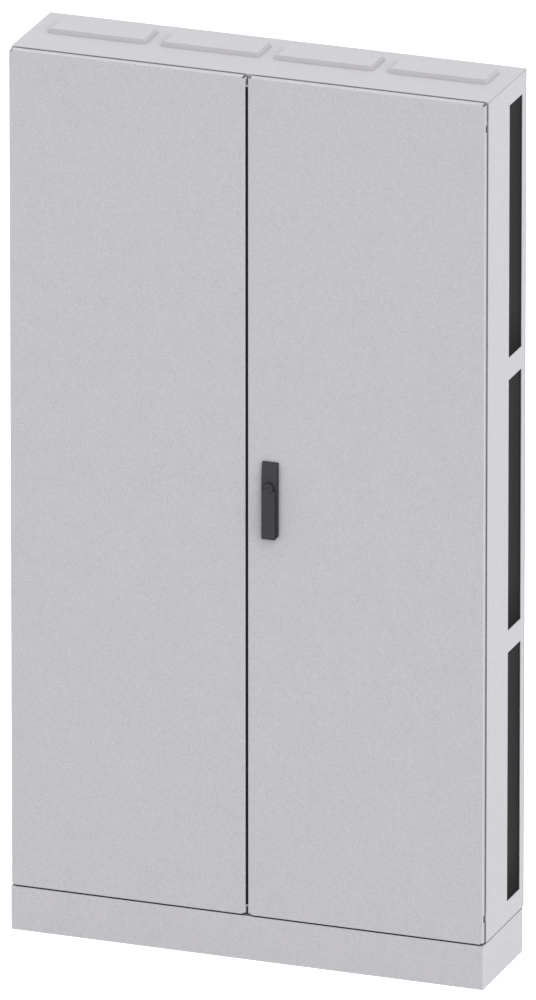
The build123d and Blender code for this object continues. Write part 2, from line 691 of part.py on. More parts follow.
earth_bar_z = upright_hole_heights[earth_bar_hole_index]
earth_screw_places = [(x, earth_bar_z) for x in upright_places]
with BuildPart() as earth_bar:
    with BuildSketch(Plane.XZ.offset(-upright_front_y)):
        with Locations((0, earth_bar_z)):
            Rectangle(earth_bar_length, earth_bar_height)
        with Locations(*[(side * (i + 1) * earth_bar_bore_pitch, earth_bar_z)
                         for side in (-1, 1) for i in range(earth_bar_bores)]):
            screw_round(earth_bar_bore, mode=Mode.SUBTRACT)
        with Locations(*earth_screw_places):
            Rectangle(rail_slot_length, rail_slot_width, mode=Mode.SUBTRACT)
    extrude(amount=earth_bar_thickness)
keep(earth_bar.part, "earth_bar")

rail_screw_tip_y = upright_front_y + upright_sheet + rail_screw_reach
with BuildPart() as mounting_screws:
    add(screws_along_y(rail_screw_places, upright_front_y - rail_sheet, rail_screw, rail_screw_head,
                       rail_screw_head_height, rail_screw_tip_y))
    add(screws_along_y(earth_screw_places, upright_front_y - earth_bar_thickness, rail_screw,
                       rail_screw_head, rail_screw_head_height, rail_screw_tip_y))
keep(mounting_screws.part, "mounting_screws")

# ---- Hinges: arms welded behind the rim reach through notches in the door trays to the pins ----
rim_rear_y = body_front_y + body_sheet
hinge_foot_inner_x = opening_x + body_sheet + hinge_foot_clearance
arm_half = hinge_arm_height / 2
with BuildPart() as hinge_arms:
    for z in hinge_heights:
        with BuildSketch(Plane.XY.offset(z - arm_half)):
            with Locations((hinge_x, hinge_y)):
                RegularPolygon(hinge_barrel / 2, hinge_sides, major_radius=False)
            with Locations(((hinge_arm_inner_x + hinge_arm_outer_x) / 2,
                            (hinge_y + rim_rear_y + hinge_arm_sheet) / 2)):
                Rectangle(hinge_arm_sheet, rim_rear_y + hinge_arm_sheet - hinge_y)
        extrude(amount=hinge_arm_height)
        add(box((hinge_foot_inner_x, hinge_arm_outer_x), (rim_rear_y, rim_rear_y + hinge_arm_sheet),
                (z - hinge_foot_height / 2, z + hinge_foot_height / 2)))
        with BuildSketch(Plane.XY.offset(z - arm_half)):
            with Locations((hinge_x, hinge_y)):
                RegularPolygon(hinge_pin / 2 + pin_clearance, hinge_sides, major_radius=False)
        extrude(amount=hinge_arm_height, mode=Mode.SUBTRACT)
    mirror(about=Plane.YZ)
keep(hinge_arms.part, "hinge_arms")

# A door leaf is a channel welded inside the tray.  The pin drops through its upper lug and the barrel
# and stands on its lower lug.
lug_half_gap = arm_half + fit_clearance
leaf_half = lug_half_gap + hinge_lug
leaf_outer_x = hinge_x + hinge_barrel / 2 + fit_clearance
leaf_base_outer_x = hinge_arm_inner_x - hinge_notch_side
leaf_inner_x = leaf_base_outer_x - hinge_leaf_base
leaf_rear_y = hinge_y + hinge_barrel / 2 + fit_clearance
with BuildPart() as right_hinge_leaves:
    for z in hinge_heights:
        add(box((leaf_inner_x, leaf_outer_x), (skin_y, leaf_rear_y), (z - leaf_half, z + leaf_half)))
        add(box((leaf_inner_x - overrun, leaf_outer_x + overrun),
                (skin_y + hinge_leaf_sheet, leaf_rear_y + overrun),
                (z - lug_half_gap, z + lug_half_gap)), mode=Mode.SUBTRACT)
        add(box((leaf_base_outer_x, leaf_outer_x + overrun), (skin_y - overrun, leaf_rear_y + overrun),
                (z - lug_half_gap, z + lug_half_gap)), mode=Mode.SUBTRACT)
        with BuildSketch(Plane.XY.offset(z + lug_half_gap)):
            with Locations((hinge_x, hinge_y)):
                RegularPolygon(hinge_pin / 2 + pin_clearance, hinge_sides, major_radius=False)
        extrude(amount=hinge_lug, mode=Mode.SUBTRACT)
keep(right_hinge_leaves.part, "right_hinge_leaves")
keep(mirrored(right_hinge_leaves.part), "left_hinge_leaves")

with BuildPart() as right_hinge_pins:
    for z in hinge_heights:
        with BuildSketch(Plane.XY.offset(z - lug_half_gap)):
            with Locations((hinge_x, hinge_y)):
                RegularPolygon(hinge_pin / 2, hinge_sides)
        extrude(amount=lug_half_gap + leaf_half + hinge_pin_overhang)
keep(right_hinge_pins.part, "right_hinge_pins")
keep(mirrored(right_hinge_pins.part), "left_hinge_pins")

# ---- Doors: trays with folded returns, an inward lip, and a notch at each hinge ----
handle_screw_places = [(handle_x, handle_pivot_z + handle_screw_rise),
                       (handle_x, handle_pivot_z - handle_screw_drop)]
with BuildPart() as door_tray:
    with BuildSketch(Plane.XY.offset(door_bottom_z)):
        with Locations((door_mid_x, (front_y + door_rear_y) / 2)):
            Rectangle(door_width, door_tray_depth)
    extrude(amount=door_height)
    fillet(door_tray.faces().sort_by(Axis.Y)[0].edges(), bend_radius)
    add(box((door_inner_x + door_sheet, door_outer_x - door_sheet), (skin_y, door_rear_y - door_sheet),
            (door_bottom_z + door_sheet, door_top_z - door_sheet)), mode=Mode.SUBTRACT)
    add(box((door_inner_x + meeting_lip, door_outer_x - door_lip),
            (door_rear_y - 2 * door_sheet, door_rear_y + overrun),
            (door_bottom_z + door_lip, door_top_z - door_lip)), mode=Mode.SUBTRACT)
    for z in hinge_heights:
        add(box((leaf_base_outer_x, door_outer_x + overrun),
                (hinge_y - hinge_notch_front, door_rear_y + overrun),
                (z - hinge_notch_height / 2, z + hinge_notch_height / 2)), mode=Mode.SUBTRACT)
with BuildPart() as right_door_panel:
    add(door_tray.part)
    with BuildSketch(Plane.XZ.offset(-front_y)):
        with Locations((handle_x, handle_pivot_z)):
            Rectangle(spindle_cutout, spindle_cutout)
        with Locations(*handle_screw_places):
            screw_round(screw + 2 * fit_clearance)
    extrude(amount=-door_sheet, mode=Mode.SUBTRACT)
keep(right_door_panel.part, "right_door_panel")
keep(mirrored(door_tray.part), "left_door_panel")

gasket_x = (door_inner_x + gasket_inset_meeting, door_outer_x - gasket_inset)
gasket_z = (door_bottom_z + gasket_inset_bottom, door_top_z - gasket_inset)
gasket_y = (door_rear_y, body_front_y - fit_clearance)
with BuildPart() as right_door_gasket:
    add(box(gasket_x, gasket_y, gasket_z))
    add(box((gasket_x[0] + gasket_width, gasket_x[1] - gasket_width),
            (gasket_y[0] - overrun, gasket_y[1] + overrun),
            (gasket_z[0] + gasket_width, gasket_z[1] - gasket_width)), mode=Mode.SUBTRACT)
keep(right_door_gasket.part, "right_door_gasket")
keep(mirrored(right_door_gasket.part), "left_door_gasket")

# Stiffeners: hat profiles welded to the door skin, with slots up the middle.
stiffener_z = (opening_bottom_z + stiffener_end_gap, opening_top_z - stiffener_end_gap)
case_z = (handle_pivot_z - case_height / 2, handle_pivot_z + case_height / 2)


def stiffener(middle_x, width):
    """A hat profile with its feet on the door skin and its web level with the body's rim."""
    half = width / 2
    web_front_y = web_y - door_sheet
    hat = folded_sheet(
        [(middle_x - half - stiffener_foot, skin_y), (middle_x - half, skin_y),
         (middle_x - half, web_front_y), (middle_x + half, web_front_y), (middle_x + half, skin_y),
         (middle_x + half + stiffener_foot, skin_y)],
        door_sheet, Plane.XY.offset(stiffener_z[0]), stiffener_z[1] - stiffener_z[0])
    slot_count = int((stiffener_z[1] - stiffener_z[0]) // stiffener_slot_pitch)
    slot_middles = [door_mid_z + (i - (slot_count - 1) / 2) * stiffener_slot_pitch
                    for i in range(slot_count)]
    clear_slots = [(middle_x, z) for z in slot_middles
                   if abs(z - handle_pivot_z) > (case_height + stiffener_slot_length) / 2]
    with BuildPart() as slotted:
        add(hat)
        with BuildSketch(Plane.XZ.offset(-web_y)):
            with Locations(*clear_slots):
                Rectangle(stiffener_slot_width, stiffener_slot_length)
        extrude(amount=door_sheet, mode=Mode.SUBTRACT)
    return slotted.part


hinge_side_stiffener = stiffener(half_width - hinge_stiffener_inset, hinge_stiffener_width)
meeting_side_stiffener = stiffener(lock_stiffener_inset, lock_stiffener_width)
with BuildPart() as right_door_stiffeners:
    add(hinge_side_stiffener)
    add(meeting_side_stiffener)
    with BuildSketch(Plane.XZ.offset(-web_y)):
        with Locations((handle_x, handle_pivot_z)):
            Rectangle(spindle_cutout, spindle_cutout)
    extrude(amount=door_sheet, mode=Mode.SUBTRACT)
keep(right_door_stiffeners.part, "right_door_stiffeners")
with BuildPart() as left_door_stiffeners:
    mirror(hinge_side_stiffener, about=Plane.YZ)
    mirror(meeting_side_stiffener, about=Plane.YZ)
keep(left_door_stiffeners.part, "left_door_stiffeners")

# ---- Meeting edge: a rubber bulb seal on the left door, with a plug at each end ----
seal_front_y = front_y + seal_front_setback
seal_reach_x = door_inner_x - fit_clearance
bulb_left_x = -door_inner_x + seal_base / 2
bulb_radius = (seal_reach_x - bulb_left_x) / 2
bulb_mid_y = door_rear_y - bulb_radius - seal_base
with BuildPart() as meeting_edge_seal:
    with BuildSketch(Plane.XY.offset(opening_bottom_z)):
        with Locations((-door_inner_x + seal_base / 2, (seal_front_y + door_rear_y) / 2)):
            Rectangle(seal_base, door_rear_y - seal_front_y)
        with Locations((bulb_left_x + bulb_radius, bulb_mid_y)):
            Circle(bulb_radius)
    extrude(amount=opening_top_z - opening_bottom_z)
keep(meeting_edge_seal.part, "meeting_edge_seal")

with BuildPart() as seal_end_plugs:
    for z_range in ((opening_top_z, opening_top_z + seal_plug_height),
                    (opening_bottom_z - seal_plug_height, opening_bottom_z)):
        add(box((-door_inner_x, seal_reach_x), (seal_front_y, door_rear_y), z_range))
keep(seal_end_plugs.part, "seal_end_plugs")

# ---- Swing handle ----
base_face_y = front_y - handle_base_thickness
lever_back_y = base_face_y - fit_clearance
lever_front_y = lever_back_y - lever_thickness
lever_mid_y = (lever_back_y + lever_front_y) / 2
lever_pin_z = handle_pivot_z - lever_pin_drop
lever_bottom_z = handle_pivot_z - lever_drop
base_top_z = handle_pivot_z + handle_base_rise
base_bottom_z = handle_pivot_z - handle_base_drop
head_radius = head_diameter / 2

with BuildPart() as handle_base:
    with BuildSketch(Plane.YZ.offset(handle_x - handle_base_width / 2)):
        with BuildLine():
            Polyline((front_y, base_bottom_z), (base_face_y, base_bottom_z),
                     (base_face_y, base_top_z - handle_wedge_height),
                     (front_y - handle_base_top_thickness, base_top_z),
                     (front_y, base_top_z), close=True)
        make_face()
    extrude(amount=handle_base_width)
    chamfer(handle_base.edges().filter_by(Axis.Y).group_by(Axis.Z)[0], handle_base_chamfer)
    with BuildSketch(Plane.XZ.offset(-front_y)):
        with Locations((handle_x, handle_pivot_z)):
            Circle(neck_diameter / 2 + pin_clearance)
    extrude(amount=handle_base_thickness, mode=Mode.SUBTRACT)
    with BuildSketch(Plane.XZ.offset(-front_y)):
        with Locations(*handle_screw_places):
            screw_round(screw + 2 * pin_clearance)
    extrude(amount=handle_screw_depth, mode=Mode.SUBTRACT)
keep(handle_base.part, "handle_base")

keep(screws_along_y(handle_screw_places, skin_y, screw, screw_head, screw_head_height,
                    front_y - handle_screw_depth), "handle_screws")

pinion_front_y = web_y + case_front + gear_end_clearance
pinion_rear_y = pinion_front_y + gear_thickness
with BuildPart() as handle_hub:
    with BuildSketch(Plane.XZ.offset(-lever_back_y)):
        with Locations((handle_x, handle_pivot_z)):
            Circle(head_radius)
    extrude(amount=lever_thickness)
    with BuildSketch(Plane.XZ.offset(-lever_back_y)):
        with Locations((handle_x, handle_pivot_z)):
            Circle(neck_diameter / 2)
    extrude(amount=-(front_y - lever_back_y))
    with BuildSketch(Plane.XZ.offset(-front_y)):
        with Locations((handle_x, handle_pivot_z)):
            Rectangle(spindle_square, spindle_square)
    extrude(amount=-(pinion_rear_y - front_y))
    with BuildSketch(Plane.XZ.offset(-lever_front_y)):
        with Locations((handle_x, handle_pivot_z)):
            Circle(lock_plug / 2 + pin_clearance)
    extrude(amount=-(lock_plug_length + fit_clearance), mode=Mode.SUBTRACT)
    with BuildSketch(Plane.YZ.offset(handle_x - head_radius)):
        with Locations((lever_mid_y, lever_pin_z)):
            Circle(lever_pin / 2 + pin_clearance)
    extrude(amount=head_diameter, mode=Mode.SUBTRACT)
keep(handle_hub.part, "handle_hub")

lever_pin_length = lever_width - 2 * fit_clearance
with BuildPart() as lever_pivot_pin:
    with BuildSketch(Plane.YZ.offset(handle_x - lever_pin_length / 2)):
        with Locations((lever_mid_y, lever_pin_z)):
            Circle(lever_pin / 2)
    extrude(amount=lever_pin_length)
keep(lever_pivot_pin.part, "lever_pivot_pin")

notch_radius = head_radius + lever_notch_clearance
notch_taper = math.degrees(math.atan2(lever_notch_flare, lever_thickness))
with BuildPart() as handle_lever:
    with BuildSketch(Plane.YZ.offset(handle_x - lever_width / 2)):
        with Locations((lever_mid_y, (lever_bottom_z + lever_pin_z) / 2)):
            Rectangle(lever_thickness, lever_pin_z - lever_bottom_z)
        with Locations((lever_mid_y, lever_pin_z)):
            Circle(lever_thickness / 2)
    extrude(amount=lever_width)
    with BuildSketch(Plane.XZ.offset(-lever_back_y)):
        with Locations((handle_x, handle_pivot_z)):
            Circle(notch_radius)
    extrude(amount=lever_thickness, taper=-notch_taper, mode=Mode.SUBTRACT)
    with BuildSketch(Plane.YZ.offset(handle_x - lever_width / 2)):
        with Locations((lever_mid_y, lever_pin_z)):
            Circle(lever_pin / 2 + pin_clearance)
    extrude(amount=lever_width, mode=Mode.SUBTRACT)
keep(handle_lever.part, "handle_lever")

with BuildPart() as lock_plug_barrel:
    with BuildSketch(Plane.XZ.offset(-lever_front_y)):
        with Locations((handle_x, handle_pivot_z)):
            Circle(lock_plug / 2)
    extrude(amount=-lock_plug_length)
    with BuildSketch(Plane.XZ.offset(-lever_front_y)):
        with Locations((handle_x, handle_pivot_z)):
            Rectangle(key_slot_width, key_slot_height)
    extrude(amount=-key_slot_depth, mode=Mode.SUBTRACT)
keep(lock_plug_barrel.part, "lock_plug")

# ---- Rack and pinion lock: the spindle's pinion pulls one rod down and the other up ----
base_radius = pitch_radius * math.cos(math.radians(gear_pressure_angle))
tip_radius = pitch_radius + gear_module
root_radius = pitch_radius - gear_dedendum * gear_module
pitch_half_angle = (math.pi * gear_module / 2 - gear_backlash / 2) / (2 * pitch_radius)


def involute(angle):
    return math.tan(angle) - angle


def tooth_point(radius, flank):
    """A point on one flank of the tooth that points along +X: flank is -1 or +1."""
    slope = math.acos(base_radius / max(radius, base_radius))
    half_angle = pitch_half_angle + involute(math.radians(gear_pressure_angle)) - involute(slope)
    return (radius * math.cos(half_angle), flank * radius * math.sin(half_angle))


flank_radii = (root_radius - gear_backlash, base_radius, pitch_radius, tip_radius)
tooth_outline = ([tooth_point(radius, -1) for radius in flank_radii]
                 + [tooth_point(radius, 1) for radius in reversed(flank_radii)])
with BuildPart() as drive_pinion:
    with BuildSketch(Plane.XZ.offset(-pinion_front_y)):
        with Locations((handle_x, handle_pivot_z)):
            RegularPolygon(root_radius, 2 * gear_teeth)
            with PolarLocations(0, gear_teeth):
                Polygon(*tooth_outline, align=None)
    extrude(amount=-gear_thickness)
    with BuildSketch(Plane.XZ.offset(-web_y)):
        with Locations((handle_x, handle_pivot_z)):
            Circle(case_bearing / 2)
    extrude(amount=-(pinion_front_y - web_y))
    with BuildSketch(Plane.XZ.offset(-web_y)):
        with Locations((handle_x, handle_pivot_z)):
            Rectangle(spindle_square, spindle_square)
    extrude(amount=-(pinion_rear_y - web_y), mode=Mode.SUBTRACT)
keep(drive_pinion.part, "drive_pinion")

rack_pitch = math.pi * gear_module
rack_end = (rack_lead + 0.5) * rack_pitch + gear_module
gap_half = rack_pitch / 4 + gear_backlash / 4
flank_slope = math.tan(math.radians(gear_pressure_angle))
root_half = gap_half - gear_dedendum * gear_module * flank_slope
mouth_half = gap_half + gear_module * flank_slope


def lock_rod(tip_distance):
    """A flat rod beside the pinion, its rack facing it, that points up to its tip."""
    with BuildPart() as rod:
        add(box((upper_rod_x - rod_width / 2, upper_rod_x + rod_width / 2),
                (rod_front_y, rod_front_y + rod_thickness),
                (handle_pivot_z - rack_end, handle_pivot_z + tip_distance)))
        chamfer(rod.edges().filter_by(Axis.Y).group_by(Axis.Z)[-1], rod_tip_chamfer)
        pitch_x = handle_x - pitch_radius
        with BuildSketch(Plane.XZ.offset(-rod_front_y)):
            with Locations(*[(pitch_x, handle_pivot_z + (i - rack_lead) * rack_pitch)
                             for i in range(rack_teeth)]):
                Polygon((-gear_dedendum * gear_module, -root_half), (gear_module, -mouth_half),
                        (gear_module, mouth_half), (-gear_dedendum * gear_module, root_half), align=None)
        extrude(amount=-rod_thickness, mode=Mode.SUBTRACT)
    return rod.part


rod_top_z = opening_top_z - rod_end_gap
rod_bottom_z = opening_bottom_z + rod_end_gap
keep(lock_rod(rod_top_z - handle_pivot_z), "upper_lock_rod")
pivot_axis = Axis((handle_x, 0, handle_pivot_z), (0, 1, 0))
keep(lock_rod(handle_pivot_z - rod_bottom_z).rotate(pivot_axis, 180), "lower_lock_rod")

# Gear case: a moulded tray on the stiffener's web, open above and below for the rods, and its cover.
case_x = (handle_x - case_width / 2, handle_x + case_width / 2)
case_rear_y = web_y + case_depth
cavity_front_y = web_y + case_front
rod_back_x = upper_rod_x - rod_width / 2 - slide_clearance
rod_face_x = upper_rod_x + rod_width / 2 + slide_clearance
with BuildPart() as lock_gear_case:
    add(box(case_x, (web_y, case_rear_y), case_z))
    add(box((rod_back_x, 2 * handle_x - rod_back_x), (cavity_front_y, case_rear_y + overrun),
            (case_z[0] + case_wall, case_z[1] - case_wall)), mode=Mode.SUBTRACT)
    add(box((rod_back_x, rod_face_x), (cavity_front_y, case_rear_y + overrun),
            (handle_pivot_z, case_z[1] + overrun)), mode=Mode.SUBTRACT)
    add(box((2 * handle_x - rod_face_x, 2 * handle_x - rod_back_x),
            (cavity_front_y, case_rear_y + overrun), (case_z[0] - overrun, handle_pivot_z)),
        mode=Mode.SUBTRACT)
    with BuildSketch(Plane.XZ.offset(-web_y)):
        with Locations((handle_x, handle_pivot_z)):
            Circle(case_bearing / 2 + pin_clearance)
    extrude(amount=-case_front, mode=Mode.SUBTRACT)
keep(lock_gear_case.part, "lock_gear_case")
keep(box(case_x, (case_rear_y, case_rear_y + case_cover_sheet), case_z), "lock_case_cover")


def rod_guide(middle_x, middle_z):
    """A moulded bridge on the stiffener's web that a flat rod slides through."""
    slot_half = rod_width / 2 + slide_clearance
    with BuildPart() as guide:
        add(box((middle_x - slot_half - guide_wall, middle_x + slot_half + guide_wall),
                (web_y, rod_front_y + rod_thickness + guide_back),
                (middle_z - guide_height / 2, middle_z + guide_height / 2)))
        add(box((middle_x - slot_half, middle_x + slot_half),
                (rod_front_y - slide_clearance, rod_front_y + rod_thickness + slide_clearance),
                (middle_z - guide_height, middle_z + guide_height)), mode=Mode.SUBTRACT)
    return guide.part


guide_span_up = rod_top_z - case_z[1]
guide_span_down = case_z[0] - rod_bottom_z
with BuildPart() as rod_guides:
    for share in rod_guide_shares:
        add(rod_guide(upper_rod_x, case_z[1] + share * guide_span_up))
        add(rod_guide(lower_rod_x, case_z[0] - share * guide_span_down))
keep(rod_guides.part, "rod_guides")

# ---- Slide bolts that hold the left door at the top and bottom ----
bolt_mid_z = rod_top_z - slide_bolt_length / 2
middle_plane = Plane.XY.offset((opening_top_z + opening_bottom_z) / 2)
bolt_half = rod_width / 2
with BuildPart() as left_top_bolt:
    add(box((-slide_bolt_x - bolt_half, -slide_bolt_x + bolt_half),
            (rod_front_y, rod_front_y + rod_thickness), (rod_top_z - slide_bolt_length, rod_top_z)))
    chamfer(left_top_bolt.edges().filter_by(Axis.Y).group_by(Axis.Z)[-1], rod_tip_chamfer)
    with BuildSketch(Plane.XZ.offset(-(rod_front_y + rod_thickness))):
        with Locations((-slide_bolt_x, bolt_mid_z)):
            Rectangle(slide_bolt_grip_width, slide_bolt_grip_height)
    extrude(amount=-slide_bolt_grip_length)
keep(left_top_bolt.part, "left_top_bolt")
with BuildPart() as left_bottom_bolt:
    mirror(left_top_bolt.part, about=middle_plane)
keep(left_bottom_bolt.part, "left_bottom_bolt")
with BuildPart() as slide_bolt_guides:
    for end in (-1, 1):
        add(rod_guide(-slide_bolt_x, bolt_mid_z + end * slide_bolt_guide_reach))
    mirror(about=middle_plane)
keep(slide_bolt_guides.part, "slide_bolt_guides")

# Keepers: slotted blocks behind the rim that take the tips of the rods and bolts.
keeper_half_x = keeper_half_width + keeper_margin
with BuildPart() as bolt_keepers:
    for places, z_range in ((top_keeper_places, (opening_top_z + body_sheet,
                                                 opening_top_z + body_sheet + keeper_height)),
                            (bottom_keeper_places, (opening_bottom_z - body_sheet - keeper_height,
                                                    opening_bottom_z - body_sheet))):
        for place in places:
            add(box((place - keeper_half_x, place + keeper_half_x),
                    (rim_rear_y, body_front_y + rim_return), z_range))
            add(box((place - keeper_half_width, place + keeper_half_width), keeper_slot_y,
                    (z_range[0] - overrun, z_range[1] + overrun)), mode=Mode.SUBTRACT)
keep(bolt_keepers.part, "bolt_keepers")
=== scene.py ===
import math

import bmesh
import bpy
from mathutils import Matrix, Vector


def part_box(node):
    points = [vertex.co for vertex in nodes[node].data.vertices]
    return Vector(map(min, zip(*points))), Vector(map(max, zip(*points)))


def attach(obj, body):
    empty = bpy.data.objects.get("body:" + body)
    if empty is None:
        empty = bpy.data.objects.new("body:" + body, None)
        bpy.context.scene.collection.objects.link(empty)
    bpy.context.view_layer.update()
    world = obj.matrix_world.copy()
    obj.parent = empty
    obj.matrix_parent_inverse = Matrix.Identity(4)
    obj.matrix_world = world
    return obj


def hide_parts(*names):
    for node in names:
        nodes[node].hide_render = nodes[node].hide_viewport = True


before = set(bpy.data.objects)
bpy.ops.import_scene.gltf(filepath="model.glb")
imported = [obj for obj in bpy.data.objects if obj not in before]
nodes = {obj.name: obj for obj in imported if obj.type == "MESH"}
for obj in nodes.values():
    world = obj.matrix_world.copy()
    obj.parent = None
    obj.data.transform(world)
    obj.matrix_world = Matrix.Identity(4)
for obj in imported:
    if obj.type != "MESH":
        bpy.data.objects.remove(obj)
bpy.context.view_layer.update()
scene = bpy.context.scene
bpy.ops.object.select_all(action="DESELECT")

# ---- Camera ----
# A long lens looks down a little on the cabinet, which stands in three-quarter view with its doors
# and its right side towards it.
lens_mm = 920.2
lens_distance = 53.2
lens_shift = (0.0009, 0.0015)
lens_azimuth = math.radians(20.091)
lens_elevation = math.radians(19.85)
aim = Vector((0.0, 0.0, 0.975))
to_lens = Vector((math.sin(lens_azimuth) * math.cos(lens_elevation),
                  -math.cos(lens_azimuth) * math.cos(lens_elevation),
                  math.sin(lens_elevation)))
bpy.ops.object.camera_add(location=aim + to_lens * lens_distance)
camera = bpy.context.object
camera.rotation_euler = (-to_lens).to_track_quat("-Z", "Y").to_euler()
camera.data.lens = lens_mm
camera.data.sensor_width = 36.0
camera.data.shift_x, camera.data.shift_y = lens_shift
camera.data.clip_end = 300.0
scene.camera = camera


# ---- Plinth ----
# A welded ring of 2 mm sheet steel with folded lips, a plate bracket in each corner and a rear
# panel that unscrews.  It is powder coated in fine-textured light grey, like all outer sheet.
class Level:
    """A value that varies over a surface: a socket that takes part in Python sums."""

    def __init__(self, nodework, socket):
        self.nodework = nodework
        self.socket = socket

    def sum_with(self, operation, first, second):
        return self.nodework.node("ShaderNodeMath", {"operation": operation}, {0: first, 1: second})

    def __add__(self, other):
        return self.sum_with("ADD", self, other)

    def __radd__(self, other):
        return self.sum_with("ADD", other, self)

    def __sub__(self, other):
        return self.sum_with("SUBTRACT", self, other)

    def __rsub__(self, other):
        return self.sum_with("SUBTRACT", other, self)

    def __mul__(self, other):
        return self.sum_with("MULTIPLY", self, other)

    def __rmul__(self, other):
        return self.sum_with("MULTIPLY", other, self)

    def __abs__(self):
        return self.sum_with("ABSOLUTE", self, 0.0)

    def larger(self, other):
        return self.sum_with("MAXIMUM", self, other)


class Nodework:
    """The shader nodes of one material or of the surround."""

    def __init__(self, tree):
        self.tree = tree

    def node(self, kind, settings=None, inputs=None, output=0):
        """Any node: its settings first, then the values or links of its sockets."""
        made = self.tree.nodes.new(kind)
        for name, value in (settings or {}).items():
            setattr(made, name, value)
        for name, value in (inputs or {}).items():
            self.feed(made.inputs[name], value)
        return Level(self, made.outputs[output])

    def feed(self, socket, value):
        """Links a varying value to a socket, or sets a constant on the socket itself."""
        if isinstance(value, Level):
            self.tree.links.new(value.socket, socket)
        else:
            socket.default_value = value


class Finish(Nodework):
    """A finish that keeps the name of one of the record's material slots, on Object coordinates in
    metres.
    """

    def __init__(self, name, slot, gloss=0.5):
        self.material = bpy.data.materials.new(name)
        self.material.use_nodes = True
        super().__init__(self.material.node_tree)
        self.slot = slot
        self.shader = self.tree.nodes["Principled BSDF"]
        self.shader.inputs["Specular IOR Level"].default_value = gloss
        self.place = self.node("ShaderNodeTexCoord", output="Object")
        self.facing = self.node("ShaderNodeTexCoord", output="Normal")

    def speckle(self, grains_per_metre, detail=2.0, place=None):
        """Soft random grain between 0 and 1, with its middle at one half."""
        return self.node("ShaderNodeTexNoise", {"noise_dimensions": "3D"},
                         {"Vector": place or self.place, "Scale": grains_per_metre,
                          "Detail": detail})

    def along(self, axis, source):
        """One coordinate of a place or a direction."""
        return self.node("ShaderNodeSeparateXYZ", {}, {"Vector": source}, output=axis)

    def stretched(self, scale):
        """Places scaled along X, Y and Z, which draws a grain out into streaks."""
        return self.node("ShaderNodeMapping", {"vector_type": "POINT"},
                         {"Vector": self.place, "Scale": scale})

    def between(self, share, first, second):
        """A colour from first to second as share goes from 0 to 1."""
        return self.node("ShaderNodeMix", {"data_type": "RGBA"}, {0: share, 6: first, 7: second},
                         output=2)

    def openness(self, reach):
        """1 on open faces, and less in joints and corners narrower than reach, in metres."""
        return self.node("ShaderNodeAmbientOcclusion", {"samples": 8}, {"Distance": reach},
                         output="AO")

    def rise(self, share, start, end):
        """0 at start, 1 at end, a straight rise between them and level beyond them."""
        return self.node("ShaderNodeMapRange", {"clamp": True},
                         {"Value": share, "From Min": start, "From Max": end})

    def bump(self, height, depth):
        """A surface raised by up to depth, in metres, where height is 1."""
        return self.node("ShaderNodeBump", {},
                         {"Height": height, "Distance": depth, "Strength": 1.0})

    def set(self, **sockets):
        """Feeds the shader's sockets by name, with _ for a space."""
        for name, value in sockets.items():
            self.feed(self.shader.inputs[name.replace("_", " ")], value)

    def put_on(self, *pieces):
        """Gives the finish to new pieces, or to CAD nodes by name."""
        for piece in pieces:
            piece = nodes.get(piece, piece)
            piece.data.materials.clear()
            piece.data.materials.append(self.material)


def tint(red, green, blue):
    """An sRGB colour, from 0 to 255, as the linear colour that a shader takes."""
    return tuple(((c / 255 + 0.055) / 1.055) ** 2.4 if c > 10 else c / 255 / 12.92
                 for c in (red, green, blue)) + (1.0,)


coat_light = tint(234, 232, 237)
coat_dark = tint(162, 160, 165)
painted_shade_dark = tint(26, 26, 27)
painted_shade_reach = 0.012
coat_grain = 620.0
coat_grain_detail = 3.0
coat_cloud = 14.0
coat_cloud_share = 0.05
coat_peel = 900.0
coat_peel_depth = 0.00004
foot_height = 0.03


def powder_coat_finish(name):
    """Light grey powder coat, which keeps its fine grain and its speckled tone for later use."""
    finish = Finish(name, "grey_powder_coat", gloss=0.3)
    finish.grain = finish.speckle(coat_grain, coat_grain_detail)
    cloud = finish.speckle(coat_cloud)
    finish.set(Roughness=0.52 + 0.1 * finish.grain,
               Normal=finish.bump(finish.speckle(coat_peel), coat_peel_depth))
    finish.tone = finish.between(finish.grain * (1.0 - coat_cloud_share) + cloud * coat_cloud_share,
                                 coat_dark, coat_light)
    return finish


powder_coat = powder_coat_finish("powder_coat")
# Painted shade: the coat turns towards near black in joints, gaps and corners narrower than 12 mm,
# found by ambient occlusion. The painted shade fades out below 30 mm above the floor.
foot_share = powder_coat.rise(powder_coat.along("Z", powder_coat.place),
                              foot_height, foot_height / 2)
painted_shade_share = powder_coat.rise(powder_coat.openness(painted_shade_reach), 0.25, 0.9).larger(foot_share)
powder_coat.set(Base_Color=powder_coat.between(painted_shade_share, painted_shade_dark, powder_coat.tone))
tiny = 0.00002
flat_angle = math.radians(0.5)
smooth_angle = math.radians(40)


def activate(piece):
    """Makes a piece the only selected one, and the active one."""
    bpy.ops.object.select_all(action="DESELECT")
    bpy.context.view_layer.objects.active = piece
    piece.select_set(True)


def joined_copy(node):
    """A copy of a CAD piece's mesh with its loose triangles joined into whole faces."""
    piece = bpy.data.objects.new(node + "_made", nodes[node].data.copy())
    scene.collection.objects.link(piece)
    activate(piece)
    bpy.ops.object.mode_set(mode="EDIT")
    bpy.ops.mesh.select_all(action="SELECT")
    bpy.ops.mesh.remove_doubles(threshold=tiny / 2)
    bpy.ops.mesh.dissolve_limited(angle_limit=flat_angle)
    bpy.ops.object.mode_set(mode="OBJECT")
    return piece


def pick(kind, wanted):
    """In edit mode, selects the edges or faces whose corners all pass a test of their place."""
    bpy.ops.mesh.select_mode(type=kind)
    bpy.ops.mesh.select_all(action="DESELECT")
    shape = bmesh.from_edit_mesh(bpy.context.object.data)
    for part in {"EDGE": shape.edges, "FACE": shape.faces}[kind]:
        part.select_set(all(wanted(corner.co) for corner in part.verts))
    bmesh.update_edit_mesh(bpy.context.object.data)


